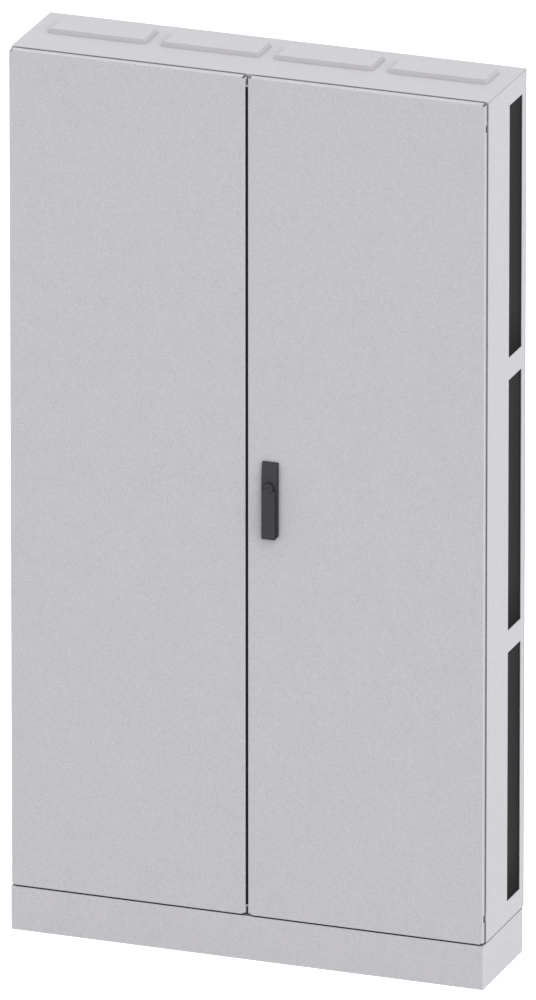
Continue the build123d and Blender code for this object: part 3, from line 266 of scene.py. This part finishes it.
def smooth(piece):
    """Soft shading over bends and rounded edges, while flat faces stay flat."""
    activate(piece)
    bpy.ops.object.shade_smooth_by_angle(angle=smooth_angle)
    bpy.ops.object.modifier_add(type="WEIGHTED_NORMAL")
    piece.modifiers[-1].keep_sharp = True
    bpy.ops.object.modifier_apply(modifier=piece.modifiers[-1].name)


def stand_for(piece, node, body, finish):
    """Gives a finished piece its material, its body and the CAD node that it replaces."""
    finish.put_on(piece)
    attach(piece, body)
    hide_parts(node)


def folded(node, body, finish, wanted=None, radius=0.0):
    """A sheet piece with smooth bends, after the edges that pass a test are rounded."""
    piece = joined_copy(node)
    if wanted:
        bpy.ops.object.mode_set(mode="EDIT")
        pick("EDGE", wanted)
        bpy.ops.mesh.bevel(offset=radius, segments=3, affect="EDGES")
        bpy.ops.object.mode_set(mode="OBJECT")
    smooth(piece)
    stand_for(piece, node, body, finish)


folded("plinth_frame", "cabinet", powder_coat)
powder_coat.put_on("plinth_rear_panel", "plinth_corner_brackets")


# ---- Plinth screws and cabinet bolts ----
# Pan-head screws of zinc-plated steel, with a cross recess, hold the plinth's rear panel.  Four
# hexagon bolts with eased corners clamp the cabinet to the plinth's brackets.
sharp_angle = math.radians(35)


def block(name, low, high):
    """A block between two corners, ready to be shaped."""
    low, high = Vector(low), Vector(high)
    bpy.ops.object.select_all(action="DESELECT")
    bpy.ops.mesh.primitive_cube_add(size=1.0, location=(low + high) / 2, scale=high - low)
    bpy.context.object.name = name
    bpy.ops.object.transform_apply(location=True, rotation=True, scale=True)
    return bpy.context.object


def cut(piece, cutter):
    """Cuts one shape out of another, and removes the cutter."""
    activate(piece)
    bpy.ops.object.modifier_add(type="BOOLEAN")
    modifier = piece.modifiers[-1]
    modifier.operation = "DIFFERENCE"
    modifier.solver = "EXACT"
    modifier.object = cutter
    bpy.ops.object.modifier_apply(modifier=modifier.name)
    bpy.data.objects.remove(cutter)


def ease_edges(piece, width):
    """A small radius on every edge, as moulding or deburring leaves it."""
    activate(piece)
    bpy.ops.object.modifier_add(type="BEVEL")
    modifier = piece.modifiers[-1]
    modifier.width = width
    modifier.segments = 2
    modifier.limit_method = "ANGLE"
    modifier.angle_limit = sharp_angle
    bpy.ops.object.modifier_apply(modifier=modifier.name)
    smooth(piece)


def eased(node, body, finish, width):
    """A moulded or machined piece with its edges eased."""
    piece = joined_copy(node)
    ease_edges(piece, width)
    stand_for(piece, node, body, finish)


def push(distance, axis):
    """Extrudes the picked face along an axis."""
    step = [0.0, 0.0, 0.0]
    step["XYZ".index(axis)] = distance
    bpy.ops.mesh.extrude_region_move(TRANSFORM_OT_translate={"value": step})


def pan_screw(head_radius, head_height, shank_radius, length):
    """A cross-recessed pan-head screw along Z, with the underside of its head at the origin."""
    bpy.ops.object.select_all(action="DESELECT")
    bpy.ops.mesh.primitive_cylinder_add(vertices=32, radius=head_radius, depth=head_height,
                                        location=(0.0, 0.0, head_height / 2))
    screw = bpy.context.object
    bpy.ops.object.transform_apply(location=True, rotation=True, scale=True)
    bpy.ops.object.mode_set(mode="EDIT")
    pick("EDGE", lambda corner: corner.z > head_height - tiny)
    bpy.ops.mesh.bevel(offset=head_height * 0.5, segments=4, affect="EDGES")
    pick("FACE", lambda corner: corner.z < tiny)
    bpy.ops.mesh.inset(thickness=head_radius - shank_radius)
    push(-length, "Z")
    bpy.ops.object.mode_set(mode="OBJECT")
    arm, half_slot = head_radius * 0.55, head_radius * 0.11
    recess_floor, recess_top = head_height * 0.45, head_height * 1.5
    for reach_x, reach_y in ((arm, half_slot), (half_slot, arm)):
        cut(screw, block("recess", (-reach_x, -reach_y, recess_floor),
                         (reach_x, reach_y, recess_top)))
    smooth(screw)
    return screw


def set_out(pattern, name, places, head):
    """Copies of a pattern screw at several places, turned so that their heads point along head."""
    copies = []
    for place in places:
        single = bpy.data.objects.new(name, pattern.data.copy())
        scene.collection.objects.link(single)
        single.location = place
        single.rotation_euler = head.to_track_quat("Z", "Y").to_euler()
        copies.append(single)
    bpy.data.objects.remove(pattern)
    activate(copies[0])
    for single in copies:
        single.select_set(True)
    bpy.ops.object.join()
    bpy.ops.object.transform_apply(location=True, rotation=True, scale=True)
    return copies[0]


def fit_screws(node, body, head, head_radius, head_height, shank_radius):
    """Puts a plated pan-head screw in the place of each of a CAD node's screws."""
    joined_copy(node)
    bpy.ops.object.mode_set(mode="EDIT")
    bpy.ops.mesh.select_all(action="SELECT")
    bpy.ops.mesh.separate(type="LOOSE")
    bpy.ops.object.mode_set(mode="OBJECT")
    boxes = []
    for single in list(bpy.context.selected_objects):
        corners = [vertex.co.copy() for vertex in single.data.vertices]
        boxes.append((Vector(min(c[i] for c in corners) for i in range(3)),
                      Vector(max(c[i] for c in corners) for i in range(3))))
        bpy.data.objects.remove(single)
    boxes.sort(key=lambda box: tuple(box[0]))
    head = Vector(head)
    along_head = Vector(abs(c) for c in head)
    length = (boxes[0][1] - boxes[0][0]).dot(along_head) - head_height
    places = [(low + high) / 2 + head * ((high - low).dot(along_head) / 2 - head_height)
              for low, high in boxes]
    screws = set_out(pan_screw(head_radius, head_height, shank_radius, length), node + "_made",
                     places, head)
    stand_for(screws, node, body, plated)


plated = Finish("plated_steel", "plated_steel")
grain = plated.speckle(400.0)
plated.set(Base_Color=plated.between(grain, tint(184, 186, 188), tint(210, 212, 214)),
           Metallic=1.0, Roughness=0.28 + 0.14 * grain, Normal=plated.bump(grain, 0.00001))
sheet_screw = {"head_radius": 0.0045, "head_height": 0.0025, "shank_radius": 0.00245}
fit_screws("plinth_screws", "cabinet", (0.0, 1.0, 0.0), **sheet_screw)
eased("cabinet_bolts", "cabinet", plated, 0.0005)

# ---- Bottom panel and gland plates ----
# The bottom sheet is folded up at the front rim and the rear.  Two flat plates close its cable
# openings, each held by four pan-head screws from above.
powder_coat.put_on("bottom_panel", "gland_plate_left", "gland_plate_right")
fit_screws("gland_plate_screws", "cabinet", (0.0, 0.0, 1.0), **sheet_screw)

# ---- Side panels ----
# One 1.5 mm sheet each, folded at the front rim and at the rear flange, with three tall windows.
# The bends have the small outer radius that a press brake leaves.
fold_radius = 0.0016
side_low, side_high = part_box("right_side_panel")


def on_outer_bend(corner):
    """Whether a corner is on the front or rear bend of a side panel's outer face."""
    return (abs(abs(corner.x) - side_high[0]) < tiny
            and (abs(corner.y - side_low[1]) < tiny or abs(corner.y - side_high[1]) < tiny))


for side in ("left", "right"):
    folded(side + "_side_panel", "cabinet", powder_coat, on_outer_bend, fold_radius)

# ---- Window covers ----
# Matt black moulded plates that slide in behind the windows from above and stand one on another.
# The flow of the plastic shows as faint streaks, and each grows darker towards its rear; painted
# shade darkens its foot, its rear edge and its joints.
cover_overlap = 0.007
cover_foot = 0.0213
cover_low, cover_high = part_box("right_side_cover_lower")
window_front_y = cover_low[1] + cover_overlap
window_rear_y = cover_high[1] - cover_overlap
window_foot_z = cover_low[2] + cover_foot
window_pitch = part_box("right_side_cover_middle")[0][2] - cover_low[2]
shade_height = 0.1
shade_depth = 0.014
streak_scale = (1.0, 6.0, 0.02)
cover_front_tint = tint(48, 48, 48)
cover_rear_tint = tint(36, 36, 36)
cover_foot_shade_tint = tint(15, 15, 15)
cover_rear_shade_tint = tint(16, 16, 16)
cover_painted_shade_tint = tint(14, 14, 14)
cover_shade_reach = 0.008
cover_black = Finish("cover_black", "black_cover", gloss=0.03)
grain = cover_black.speckle(500.0)
streaks = cover_black.speckle(60.0, 1.0, cover_black.stretched(streak_scale))
depth = cover_black.along("Y", cover_black.place)
rearward = cover_black.rise(depth, window_front_y, window_rear_y)
cover_tone = cover_black.between(rearward + 0.5 * (streaks - 0.5) + 0.2 * (grain - 0.5),
                                 cover_front_tint, cover_rear_tint)
# Painted shade: each plate is painted darker over its lowest 0.1 m and its rearmost 14 mm, where
# the frame's shade falls. It is also darker in joints narrower than 8 mm, found by ambient
# occlusion.
storeys_up = (cover_black.along("Z", cover_black.place) - window_foot_z) * (1 / window_pitch)
height_share = cover_black.node("ShaderNodeMath", {"operation": "FRACT"}, {0: storeys_up})
foot_shade = cover_black.rise(height_share, shade_height / window_pitch, 0.0)
cover_tone = cover_black.between(0.95 * foot_shade, cover_tone, cover_foot_shade_tint)
rear_shade = cover_black.rise(depth, window_rear_y - shade_depth, window_rear_y)
cover_tone = cover_black.between(rear_shade, cover_tone, cover_rear_shade_tint)
cover_painted_shade_share = cover_black.rise(cover_black.openness(cover_shade_reach), 0.3, 0.9)
cover_black.set(Base_Color=cover_black.between(cover_painted_shade_share, cover_painted_shade_tint, cover_tone),
                Roughness=0.6 + 0.15 * grain, Normal=cover_black.bump(grain, 0.00003))
for side in ("left", "right"):
    for storey in ("lower", "middle", "upper"):
        cover_black.put_on(side + "_side_cover_" + storey)

# ---- Rear panel ----
# A flat sheet of powder-coated steel with four holes for wall bolts.  It is held under the roof's
# return, and by eight screws from inside.
powder_coat.put_on("rear_panel")
fit_screws("rear_panel_screws", "cabinet", (0.0, -1.0, 0.0), **sheet_screw)

# ---- Roof and roof covers ----
# The roof sheet folds down at the rear, and a channel is welded below its front edge.  Four shallow
# pressed caps with sloping sides close its cable openings.
roof_rear_y, roof_top_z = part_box("roof_panel")[1][1:]
folded("roof_panel", "cabinet", powder_coat,
       lambda corner: corner.y > roof_rear_y - tiny and corner.z > roof_top_z - tiny, fold_radius)
powder_coat.put_on("roof_header")

cap_edge_radius = 0.0008
# Painted shade: the caps' sloping sides are painted darker than their tops, as less light falls on
# them, and their joints are painted darker by ambient occlusion.
shaded_slope_light = tint(202, 200, 205)
shaded_slope_dark = tint(160, 158, 163)
cap_painted_shade_tint = tint(150, 149, 152)
cap_coat = powder_coat_finish("cap_powder_coat")
painted_slope_shade = cap_coat.between(cap_coat.grain, shaded_slope_dark, shaded_slope_light)
lit_top_share = cap_coat.rise(cap_coat.along("Z", cap_coat.facing), 0.6, 0.95)
cap_tone = cap_coat.between(lit_top_share, painted_slope_shade, cap_coat.tone)
cap_painted_shade_share = cap_coat.rise(cap_coat.openness(painted_shade_reach), 0.0, 0.8)
cap_coat.set(Base_Color=cap_coat.between(cap_painted_shade_share, cap_painted_shade_tint, cap_tone))
cap_top_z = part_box("roof_cover_1")[1][2]
for number in range(1, 5):
    folded("roof_cover_" + str(number), "cabinet", cap_coat,
           lambda corner: corner.z > cap_top_z - tiny, cap_edge_radius)

# ---- Mounting frame and earth bar ----
# Perforated uprights and top-hat rails are folded from galvanised sheet, which shows its crystals.
# The flat copper earth bar is screwed to the uprights low down.
crystals_per_metre = 120.0
zinc = Finish("galvanised_sheet", "zinc_plate")
crystals = zinc.node("ShaderNodeTexVoronoi", {},
                     {"Vector": zinc.place, "Scale": crystals_per_metre}, output="Color")
crystal = zinc.along("X", crystals)
zinc.set(Base_Color=zinc.between(crystal, tint(172, 176, 180), tint(206, 210, 214)),
         Metallic=1.0, Roughness=0.34 + 0.16 * crystal)
zinc.put_on("left_mounting_upright", "right_mounting_upright", "mounting_rails")
fit_screws("mounting_screws", "cabinet", (0.0, -1.0, 0.0),
           head_radius=0.005, head_height=0.003, shank_radius=0.00295)

drawn_across = (0.02, 1.0, 1.0)
copper = Finish("copper", "copper")
grain = copper.speckle(60.0, 4.0)
drawn = copper.speckle(900.0, 2.0, copper.stretched(drawn_across))
copper.set(Base_Color=copper.between(grain, tint(172, 106, 78), tint(206, 144, 116)),
           Metallic=1.0, Roughness=0.26 + 0.12 * grain + 0.1 * drawn,
           Normal=copper.bump(drawn, 0.00002))
copper.put_on("earth_bar")

# ---- Keepers and hinge arms ----
# The keepers are slotted strips welded to the rim for the rods and bolts.  The hinge arms are bent
# strips welded behind the rim, and reach through the door trays' notches to the pins.
zinc.put_on("bolt_keepers", "hinge_arms")

# ---- Doors ----
# Trays of 1.5 mm sheet with rounded front edges and inward lips, powder coated like the body, and a
# notch where two bends meet in each corner.  Perforated channels stiffen them and carry the lock.
door_coat = powder_coat_finish("door_powder_coat")
# Painted shade: the coat turns towards near black in joints and gaps narrower than 12 mm, found by
# ambient occlusion, which also paints a shadow round the handle. Faces towards the sides keep the
# plain coat.
unshaded_side_share = door_coat.rise(abs(door_coat.along("X", door_coat.facing)), 0.5, 0.9)
door_painted_shade_share = door_coat.rise(door_coat.openness(painted_shade_reach), 0.0, 0.8).larger(unshaded_side_share)
door_coat.set(Base_Color=door_coat.between(door_painted_shade_share, painted_shade_dark, door_coat.tone))
overrun = 0.001
notch_width = 0.0065
notch_height = 0.0038
for side in ("left", "right"):
    tray = joined_copy(side + "_door_panel")
    tray_low, tray_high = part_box(side + "_door_panel")
    for corner_x in (tray_low[0], tray_high[0]):
        for corner_z in (tray_low[2], tray_high[2]):
            cut(tray, block("notch", (corner_x - notch_width, tray_low[1] - overrun,
                                      corner_z - notch_height),
                            (corner_x + notch_width, tray_high[1] + overrun,
                             corner_z + notch_height)))
    smooth(tray)
    stand_for(tray, side + "_door_panel", side + "_door", door_coat)
powder_coat.put_on("left_door_stiffeners", "right_door_stiffeners")

# ---- Gaskets and meeting-edge seal ----
# Soft black rubber: a foamed gasket runs round each door's lip, and an extruded bulb seal closes
# the gap between the doors, with a grey plug in each of its ends.
rubber = Finish("black_rubber", "black_rubber", gloss=0.2)
grain = rubber.speckle(600.0)
rubber.set(Base_Color=rubber.between(grain, tint(18, 18, 18), tint(32, 32, 32)),
           Roughness=0.75 + 0.1 * grain, Normal=rubber.bump(grain, 0.00005))
eased("left_door_gasket", "left_door", rubber, 0.0012)
eased("right_door_gasket", "right_door", rubber, 0.0012)


def move_end(piece, end_z, distance):
    """Moves the flat end of a piece that lies at a height, up or down."""
    activate(piece)
    bpy.ops.object.mode_set(mode="EDIT")
    pick("FACE", lambda corner: abs(corner.z - end_z) < tiny)
    bpy.ops.transform.translate(value=(0.0, 0.0, distance))
    bpy.ops.object.mode_set(mode="OBJECT")


plug_bite = 0.0038
seal_top_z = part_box("meeting_edge_seal")[1][2]
seal = joined_copy("meeting_edge_seal")
move_end(seal, seal_top_z, plug_bite)
ease_edges(seal, 0.0005)
stand_for(seal, "meeting_edge_seal", "left_door", rubber)

plug_grey = Finish("grey_plastic", "grey_plastic", gloss=0.3)
grain = plug_grey.speckle(800.0)
plug_grey.set(Base_Color=plug_grey.between(grain, tint(172, 174, 178), tint(190, 192, 196)),
              Roughness=0.5 + 0.1 * grain, Normal=plug_grey.bump(grain, 0.00002))
plugs = joined_copy("seal_end_plugs")
plugs_foot_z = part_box("seal_end_plugs")[0][2]
move_end(plugs, seal_top_z, plug_bite)
move_end(plugs, plugs_foot_z, plug_bite)
ease_edges(plugs, 0.0004)
stand_for(plugs, "seal_end_plugs", "left_door", plug_grey)

# ---- Hinges ----
# Each door hangs on two turned and plated steel pins, in leaves of galvanised strip that are
# welded inside its tray.
zinc.put_on("left_hinge_leaves", "right_hinge_leaves")
for side in ("left", "right"):
    eased(side + "_hinge_pins", side + "_door", plated, 0.0003)

# ---- Slide bolts ----
# The left door is held by two black nylon bolts behind its inner edge, with finger grips, which
# slide by hand in moulded guides.
nylon = Finish("black_nylon", "black_nylon", gloss=0.35)
grain = nylon.speckle(900.0)
nylon.set(Base_Color=nylon.between(grain, tint(32, 32, 34), tint(44, 44, 46)),
          Roughness=0.4 + 0.12 * grain, Normal=nylon.bump(grain, 0.00002))
eased("left_top_bolt", "top_bolt", nylon, 0.0006)
eased("left_bottom_bolt", "bottom_bolt", nylon, 0.0006)
eased("slide_bolt_guides", "left_door", nylon, 0.0004)

# ---- Rack-and-pinion lock ----
# The spindle's steel pinion turns between two racks, cut into the ends of galvanised flat rods,
# in a black nylon case with a screwed lid.  Nylon guides lead the rods to their keepers.
eased("lock_gear_case", "right_door", nylon, 0.0004)
eased("lock_case_cover", "right_door", nylon, 0.0003)
eased("rod_guides", "right_door", nylon, 0.0004)
plated.put_on("drive_pinion")

drawn_upright = (1.0, 1.0, 0.02)
bar_zinc = Finish("zinc_plated_bar", "zinc_plate")
drawn = bar_zinc.speckle(700.0, 3.0, bar_zinc.stretched(drawn_upright))
bar_zinc.set(Base_Color=bar_zinc.between(drawn, tint(176, 180, 186), tint(212, 214, 216)),
             Metallic=1.0, Roughness=0.24 + 0.2 * drawn, Normal=bar_zinc.bump(drawn, 0.00002))
bar_zinc.put_on("upper_lock_rod", "lower_lock_rod")

lid_low, lid_high = (Vector(corner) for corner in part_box("lock_case_cover"))
lid_screw_inset = 0.005
lid_screw = pan_screw(head_radius=0.0024, head_height=0.0012, shank_radius=0.0012, length=0.001)
lid_screws = set_out(lid_screw, "lock_lid_screws",
                     [(x, lid_high.y, z)
                      for x in (lid_low.x + lid_screw_inset, lid_high.x - lid_screw_inset)
                      for z in (lid_low.z + lid_screw_inset, lid_high.z - lid_screw_inset)],
                     Vector((0.0, 1.0, 0.0)))
plated.put_on(lid_screws)
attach(lid_screws, "right_door")


# ---- Handle base ----
# A moulded black plastic plate under the swing lever.  Its upper end thins like a wedge, its lower
# corners are cut, a shallow dish surrounds the head, and two screws hold it from inside the door.
def round_bar(name, x, z, front_y, rear_y, radius, front_radius=None, sides=64):
    """A round bar along Y, or a taper when its front end has a radius of its own."""
    bpy.ops.object.select_all(action="DESELECT")
    bpy.ops.mesh.primitive_cone_add(vertices=sides, radius1=front_radius or radius, radius2=radius,
                                    depth=rear_y - front_y, location=(x, (front_y + rear_y) / 2, z),
                                    rotation=(-math.pi / 2, 0.0, 0.0))
    bpy.context.object.name = name
    bpy.ops.object.transform_apply(location=True, rotation=True, scale=True)
    return bpy.context.object


handle_black = Finish("handle_black", "handle_black", gloss=0.15)
grain = handle_black.speckle(700.0)
# Painted light and shade: faces towards the front are painted lighter than the side walls, and
# joints narrower than 6 mm are painted darker, found by ambient occlusion.
lit_front_share = handle_black.rise(0.0 - handle_black.along("Y", handle_black.facing), 0.5, 0.95)
handle_painted_shade_share = handle_black.rise(handle_black.openness(0.006), 0.15, 0.6)
handle_painted_shade_tint = tint(20, 20, 20)
lit_face_tone = handle_black.between(grain, tint(60, 59, 62), tint(74, 72, 76))
shaded_wall_tone = handle_black.between(grain, tint(34, 34, 35), tint(44, 44, 45))
handle_tone = handle_black.between(lit_front_share, shaded_wall_tone, lit_face_tone)
handle_black.set(Base_Color=handle_black.between(handle_painted_shade_share, handle_painted_shade_tint, handle_tone),
                 Roughness=0.55 + 0.15 * grain, Normal=handle_black.bump(grain, 0.00003))

base_low, base_high = (Vector(corner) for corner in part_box("handle_base"))
hub_low, hub_high = (Vector(corner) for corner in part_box("handle_hub"))
pivot_x = (hub_low.x + hub_high.x) / 2
pivot_z = (hub_low.z + hub_high.z) / 2
wedge_height = 0.033
wedge_thickness = 0.006
corner_cut = 0.005
neck_radius = 0.007
neck_clearance = 0.0001
dish_radius = 0.0125
dish_depth = 0.0006
handle_base = block("swing_handle_base", base_low, base_high)
bpy.ops.object.mode_set(mode="EDIT")
bpy.ops.mesh.select_all(action="SELECT")
bpy.ops.mesh.bisect(plane_co=(0.0, 0.0, base_high.z - wedge_height), plane_no=(0.0, 0.0, 1.0))
pick("EDGE", lambda corner: corner.z > base_high.z - tiny and corner.y < base_low.y + tiny)
bpy.ops.transform.translate(value=(0.0, base_high.y - base_low.y - wedge_thickness, 0.0))
for corner_x in (base_low.x, base_high.x):
    pick("EDGE", lambda corner: corner.z < base_low.z + tiny and abs(corner.x - corner_x) < tiny)
    bpy.ops.mesh.bevel(offset=corner_cut, segments=1, affect="EDGES")
bpy.ops.object.mode_set(mode="OBJECT")
cut(handle_base, round_bar("neck_bore", pivot_x, pivot_z, base_low.y - overrun,
                           base_high.y + overrun, neck_radius + neck_clearance))
cut(handle_base, round_bar("head_dish", pivot_x, pivot_z, base_low.y - overrun,
                           base_low.y + dish_depth, dish_radius))
ease_edges(handle_base, 0.0005)
stand_for(handle_base, "handle_base", "right_door", handle_black)
fit_screws("handle_screws", "right_door", (0.0, 1.0, 0.0), **sheet_screw)

# ---- Swing lever ----
# Moulded in the same black plastic: it lies on the base, pivots on a cross pin at its rounded upper
# end, is notched round the head with a flare that lets it lift, and has a finger cut below.
lever_low, lever_high = (Vector(corner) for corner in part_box("handle_lever"))
lever_thickness = lever_high.y - lever_low.y
notch_radius = 0.011
notch_flare = 0.0016
finger_cut = 0.003
lever = block("swing_lever", lever_low, lever_high)
bpy.ops.object.mode_set(mode="EDIT")
for edge_y in (lever_low.y, lever_high.y):
    pick("EDGE", lambda corner: corner.z > lever_high.z - tiny and abs(corner.y - edge_y) < tiny)
    bpy.ops.mesh.bevel(offset=lever_thickness / 2 - tiny, segments=5, affect="EDGES")
pick("EDGE", lambda corner: corner.z < lever_low.z + tiny and corner.y > lever_high.y - tiny)
bpy.ops.mesh.bevel(offset=finger_cut, segments=4, affect="EDGES")
bpy.ops.object.mode_set(mode="OBJECT")
flare_overrun = notch_flare * overrun / lever_thickness
cut(lever, round_bar("head_notch", pivot_x, pivot_z, lever_low.y - overrun, lever_high.y + overrun,
                     notch_radius - flare_overrun, notch_radius + notch_flare + flare_overrun))
ease_edges(lever, 0.0004)
stand_for(lever, "handle_lever", "lever", handle_black)

# Painted light: the lever's faces round the notch below the pivot are painted mid grey, so that
# they read lit in the narrow gap where shade falls.
notch_painted_light = Finish("notch_painted_light", "handle_black", gloss=0.1)
grain = notch_painted_light.speckle(700.0)
notch_painted_light.set(Base_Color=notch_painted_light.between(grain, tint(96, 94, 98), tint(112, 110, 114)),
                Roughness=0.6 + 0.1 * grain, Normal=notch_painted_light.bump(grain, 0.00003))
lever.data.materials.append(notch_painted_light.material)
bpy.ops.object.mode_set(mode="EDIT")
notch_reach = notch_radius + notch_flare + 0.0001
pick("FACE", lambda corner: corner.z < pivot_z
     and math.hypot(corner.x - pivot_x, corner.z - pivot_z) < notch_reach)
lever.active_material_index = 1
bpy.ops.object.material_slot_assign()
bpy.ops.object.mode_set(mode="OBJECT")

# ---- Handle head and spindle ----
# A turned head of the same plastic, with a fine ring round the key barrel, on a neck that turns in
# the base.  Its square steel spindle drives the lock, and a dark steel pin carries the lever.
head_radius = (hub_high.x - hub_low.x) / 2
head_rear_y = lever_high.y
barrel_radius = 0.0045
barrel_clearance = 0.00005
barrel_bore_depth = 0.0103
ring_radius = 0.0062
ring_depth = 0.0003
square = 0.008
head = round_bar("handle_head", pivot_x, pivot_z, hub_low.y, head_rear_y, head_radius)
bpy.ops.object.mode_set(mode="EDIT")
pick("FACE", lambda corner: corner.y > head_rear_y - tiny)
bpy.ops.mesh.inset(thickness=head_radius - neck_radius)
push(base_high.y - head_rear_y, "Y")
pick("FACE", lambda corner: corner.y < hub_low.y + tiny)
bpy.ops.mesh.inset(thickness=head_radius - ring_radius)
push(ring_depth, "Y")
bpy.ops.mesh.inset(thickness=ring_radius - barrel_radius - barrel_clearance)
push(barrel_bore_depth - ring_depth, "Y")
bpy.ops.object.mode_set(mode="OBJECT")
ease_edges(head, 0.0003)
stand_for(head, "handle_hub", "spindle", handle_black)

dark_steel = Finish("phosphated_steel", "plated_steel", gloss=0.2)
grain = dark_steel.speckle(500.0)
dark_steel.set(Base_Color=dark_steel.between(grain, tint(38, 38, 40), tint(54, 54, 56)),
               Metallic=0.6, Roughness=0.5 + 0.2 * grain)
spindle = block("square_spindle",
                (pivot_x - square / 2, base_high.y - overrun, pivot_z - square / 2),
                (pivot_x + square / 2, hub_high.y, pivot_z + square / 2))
ease_edges(spindle, 0.0003)
dark_steel.put_on(spindle, "lever_pivot_pin")
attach(spindle, "spindle")

# ---- Key barrel ----
# The round barrel of the lock turns in the head.  It is dark like the head, with a shallow dished
# face and a narrow shuttered keyway.
barrel_low, barrel_high = (Vector(corner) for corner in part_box("lock_plug"))
barrel_rim = 0.0006
barrel_dish = 0.0002
keyway_half_width = 0.0004
keyway_half_height = 0.0023
keyway_depth = 0.0014
barrel = round_bar("key_barrel", pivot_x, pivot_z, barrel_low.y, barrel_high.y, barrel_radius,
                   sides=48)
bpy.ops.object.mode_set(mode="EDIT")
pick("FACE", lambda corner: corner.y < barrel_low.y + tiny)
bpy.ops.mesh.inset(thickness=barrel_rim)
push(barrel_dish, "Y")
bpy.ops.object.mode_set(mode="OBJECT")
cut(barrel, block("keyway", (pivot_x - keyway_half_width, barrel_low.y - overrun,
                             pivot_z - keyway_half_height),
                  (pivot_x + keyway_half_width, barrel_low.y + keyway_depth,
                   pivot_z + keyway_half_height)))
ease_edges(barrel, 0.00015)
stand_for(barrel, "lock_plug", "key_plug", handle_black)

# ---- Studio ----
# A wide white floor and an even white surround, with one broad lamp from the right and above.  The
# floor glows only where it is seen or mirrored, so it keeps the cabinet's shadow.
floor_glow = 0.84
floor_grey = (0.5, 0.5, 0.5, 1.0)
surround_light = 0.74
floor_size = 120.0
lamp_strength = 1.96
lamp_spread = math.radians(80)
lamp_direction = Vector((-0.704, 0.463, -0.50))
bpy.ops.object.select_all(action="DESELECT")
bpy.ops.mesh.primitive_plane_add(size=floor_size, location=(0.0, 0.0, 0.0))
floor = bpy.context.object
floor.name = "floor"
ground = bpy.data.materials.new("floor_white")
ground.use_nodes = True
floor.data.materials.append(ground)


def seen_rays(nodework):
    """1 for the rays that show the stage: those of the camera, of mirrors and of glass."""
    camera_ray, mirror_ray, glass_ray = (
        nodework.node("ShaderNodeLightPath", output=name)
        for name in ("Is Camera Ray", "Is Glossy Ray", "Is Transmission Ray"))
    return camera_ray.larger(mirror_ray).larger(glass_ray)


floor_work = Nodework(ground.node_tree)
glow = floor_work.node("ShaderNodeEmission", {}, {"Strength": floor_glow * seen_rays(floor_work)})
matt = floor_work.node("ShaderNodeBsdfDiffuse", {}, {"Color": floor_grey})
floor_work.feed(ground.node_tree.nodes["Material Output"].inputs["Surface"],
                floor_work.node("ShaderNodeAddShader", {}, {0: glow, 1: matt}))

scene.world = bpy.data.worlds.new("surround")
scene.world.use_nodes = True
surround = Nodework(scene.world.node_tree)
background = scene.world.node_tree.nodes["Background"]
background.inputs["Color"].default_value = (1.0, 1.0, 1.0, 1.0)
surround.feed(background.inputs["Strength"],
              surround_light + (1.0 - surround_light) * seen_rays(surround))

bpy.ops.object.light_add(type="SUN", location=(3.0, -2.0, 3.0))
lamp = bpy.context.object
lamp.data.energy = lamp_strength
lamp.data.angle = lamp_spread
lamp.rotation_euler = lamp_direction.to_track_quat("-Z", "Y").to_euler()
scene.view_settings.view_transform = "Standard"
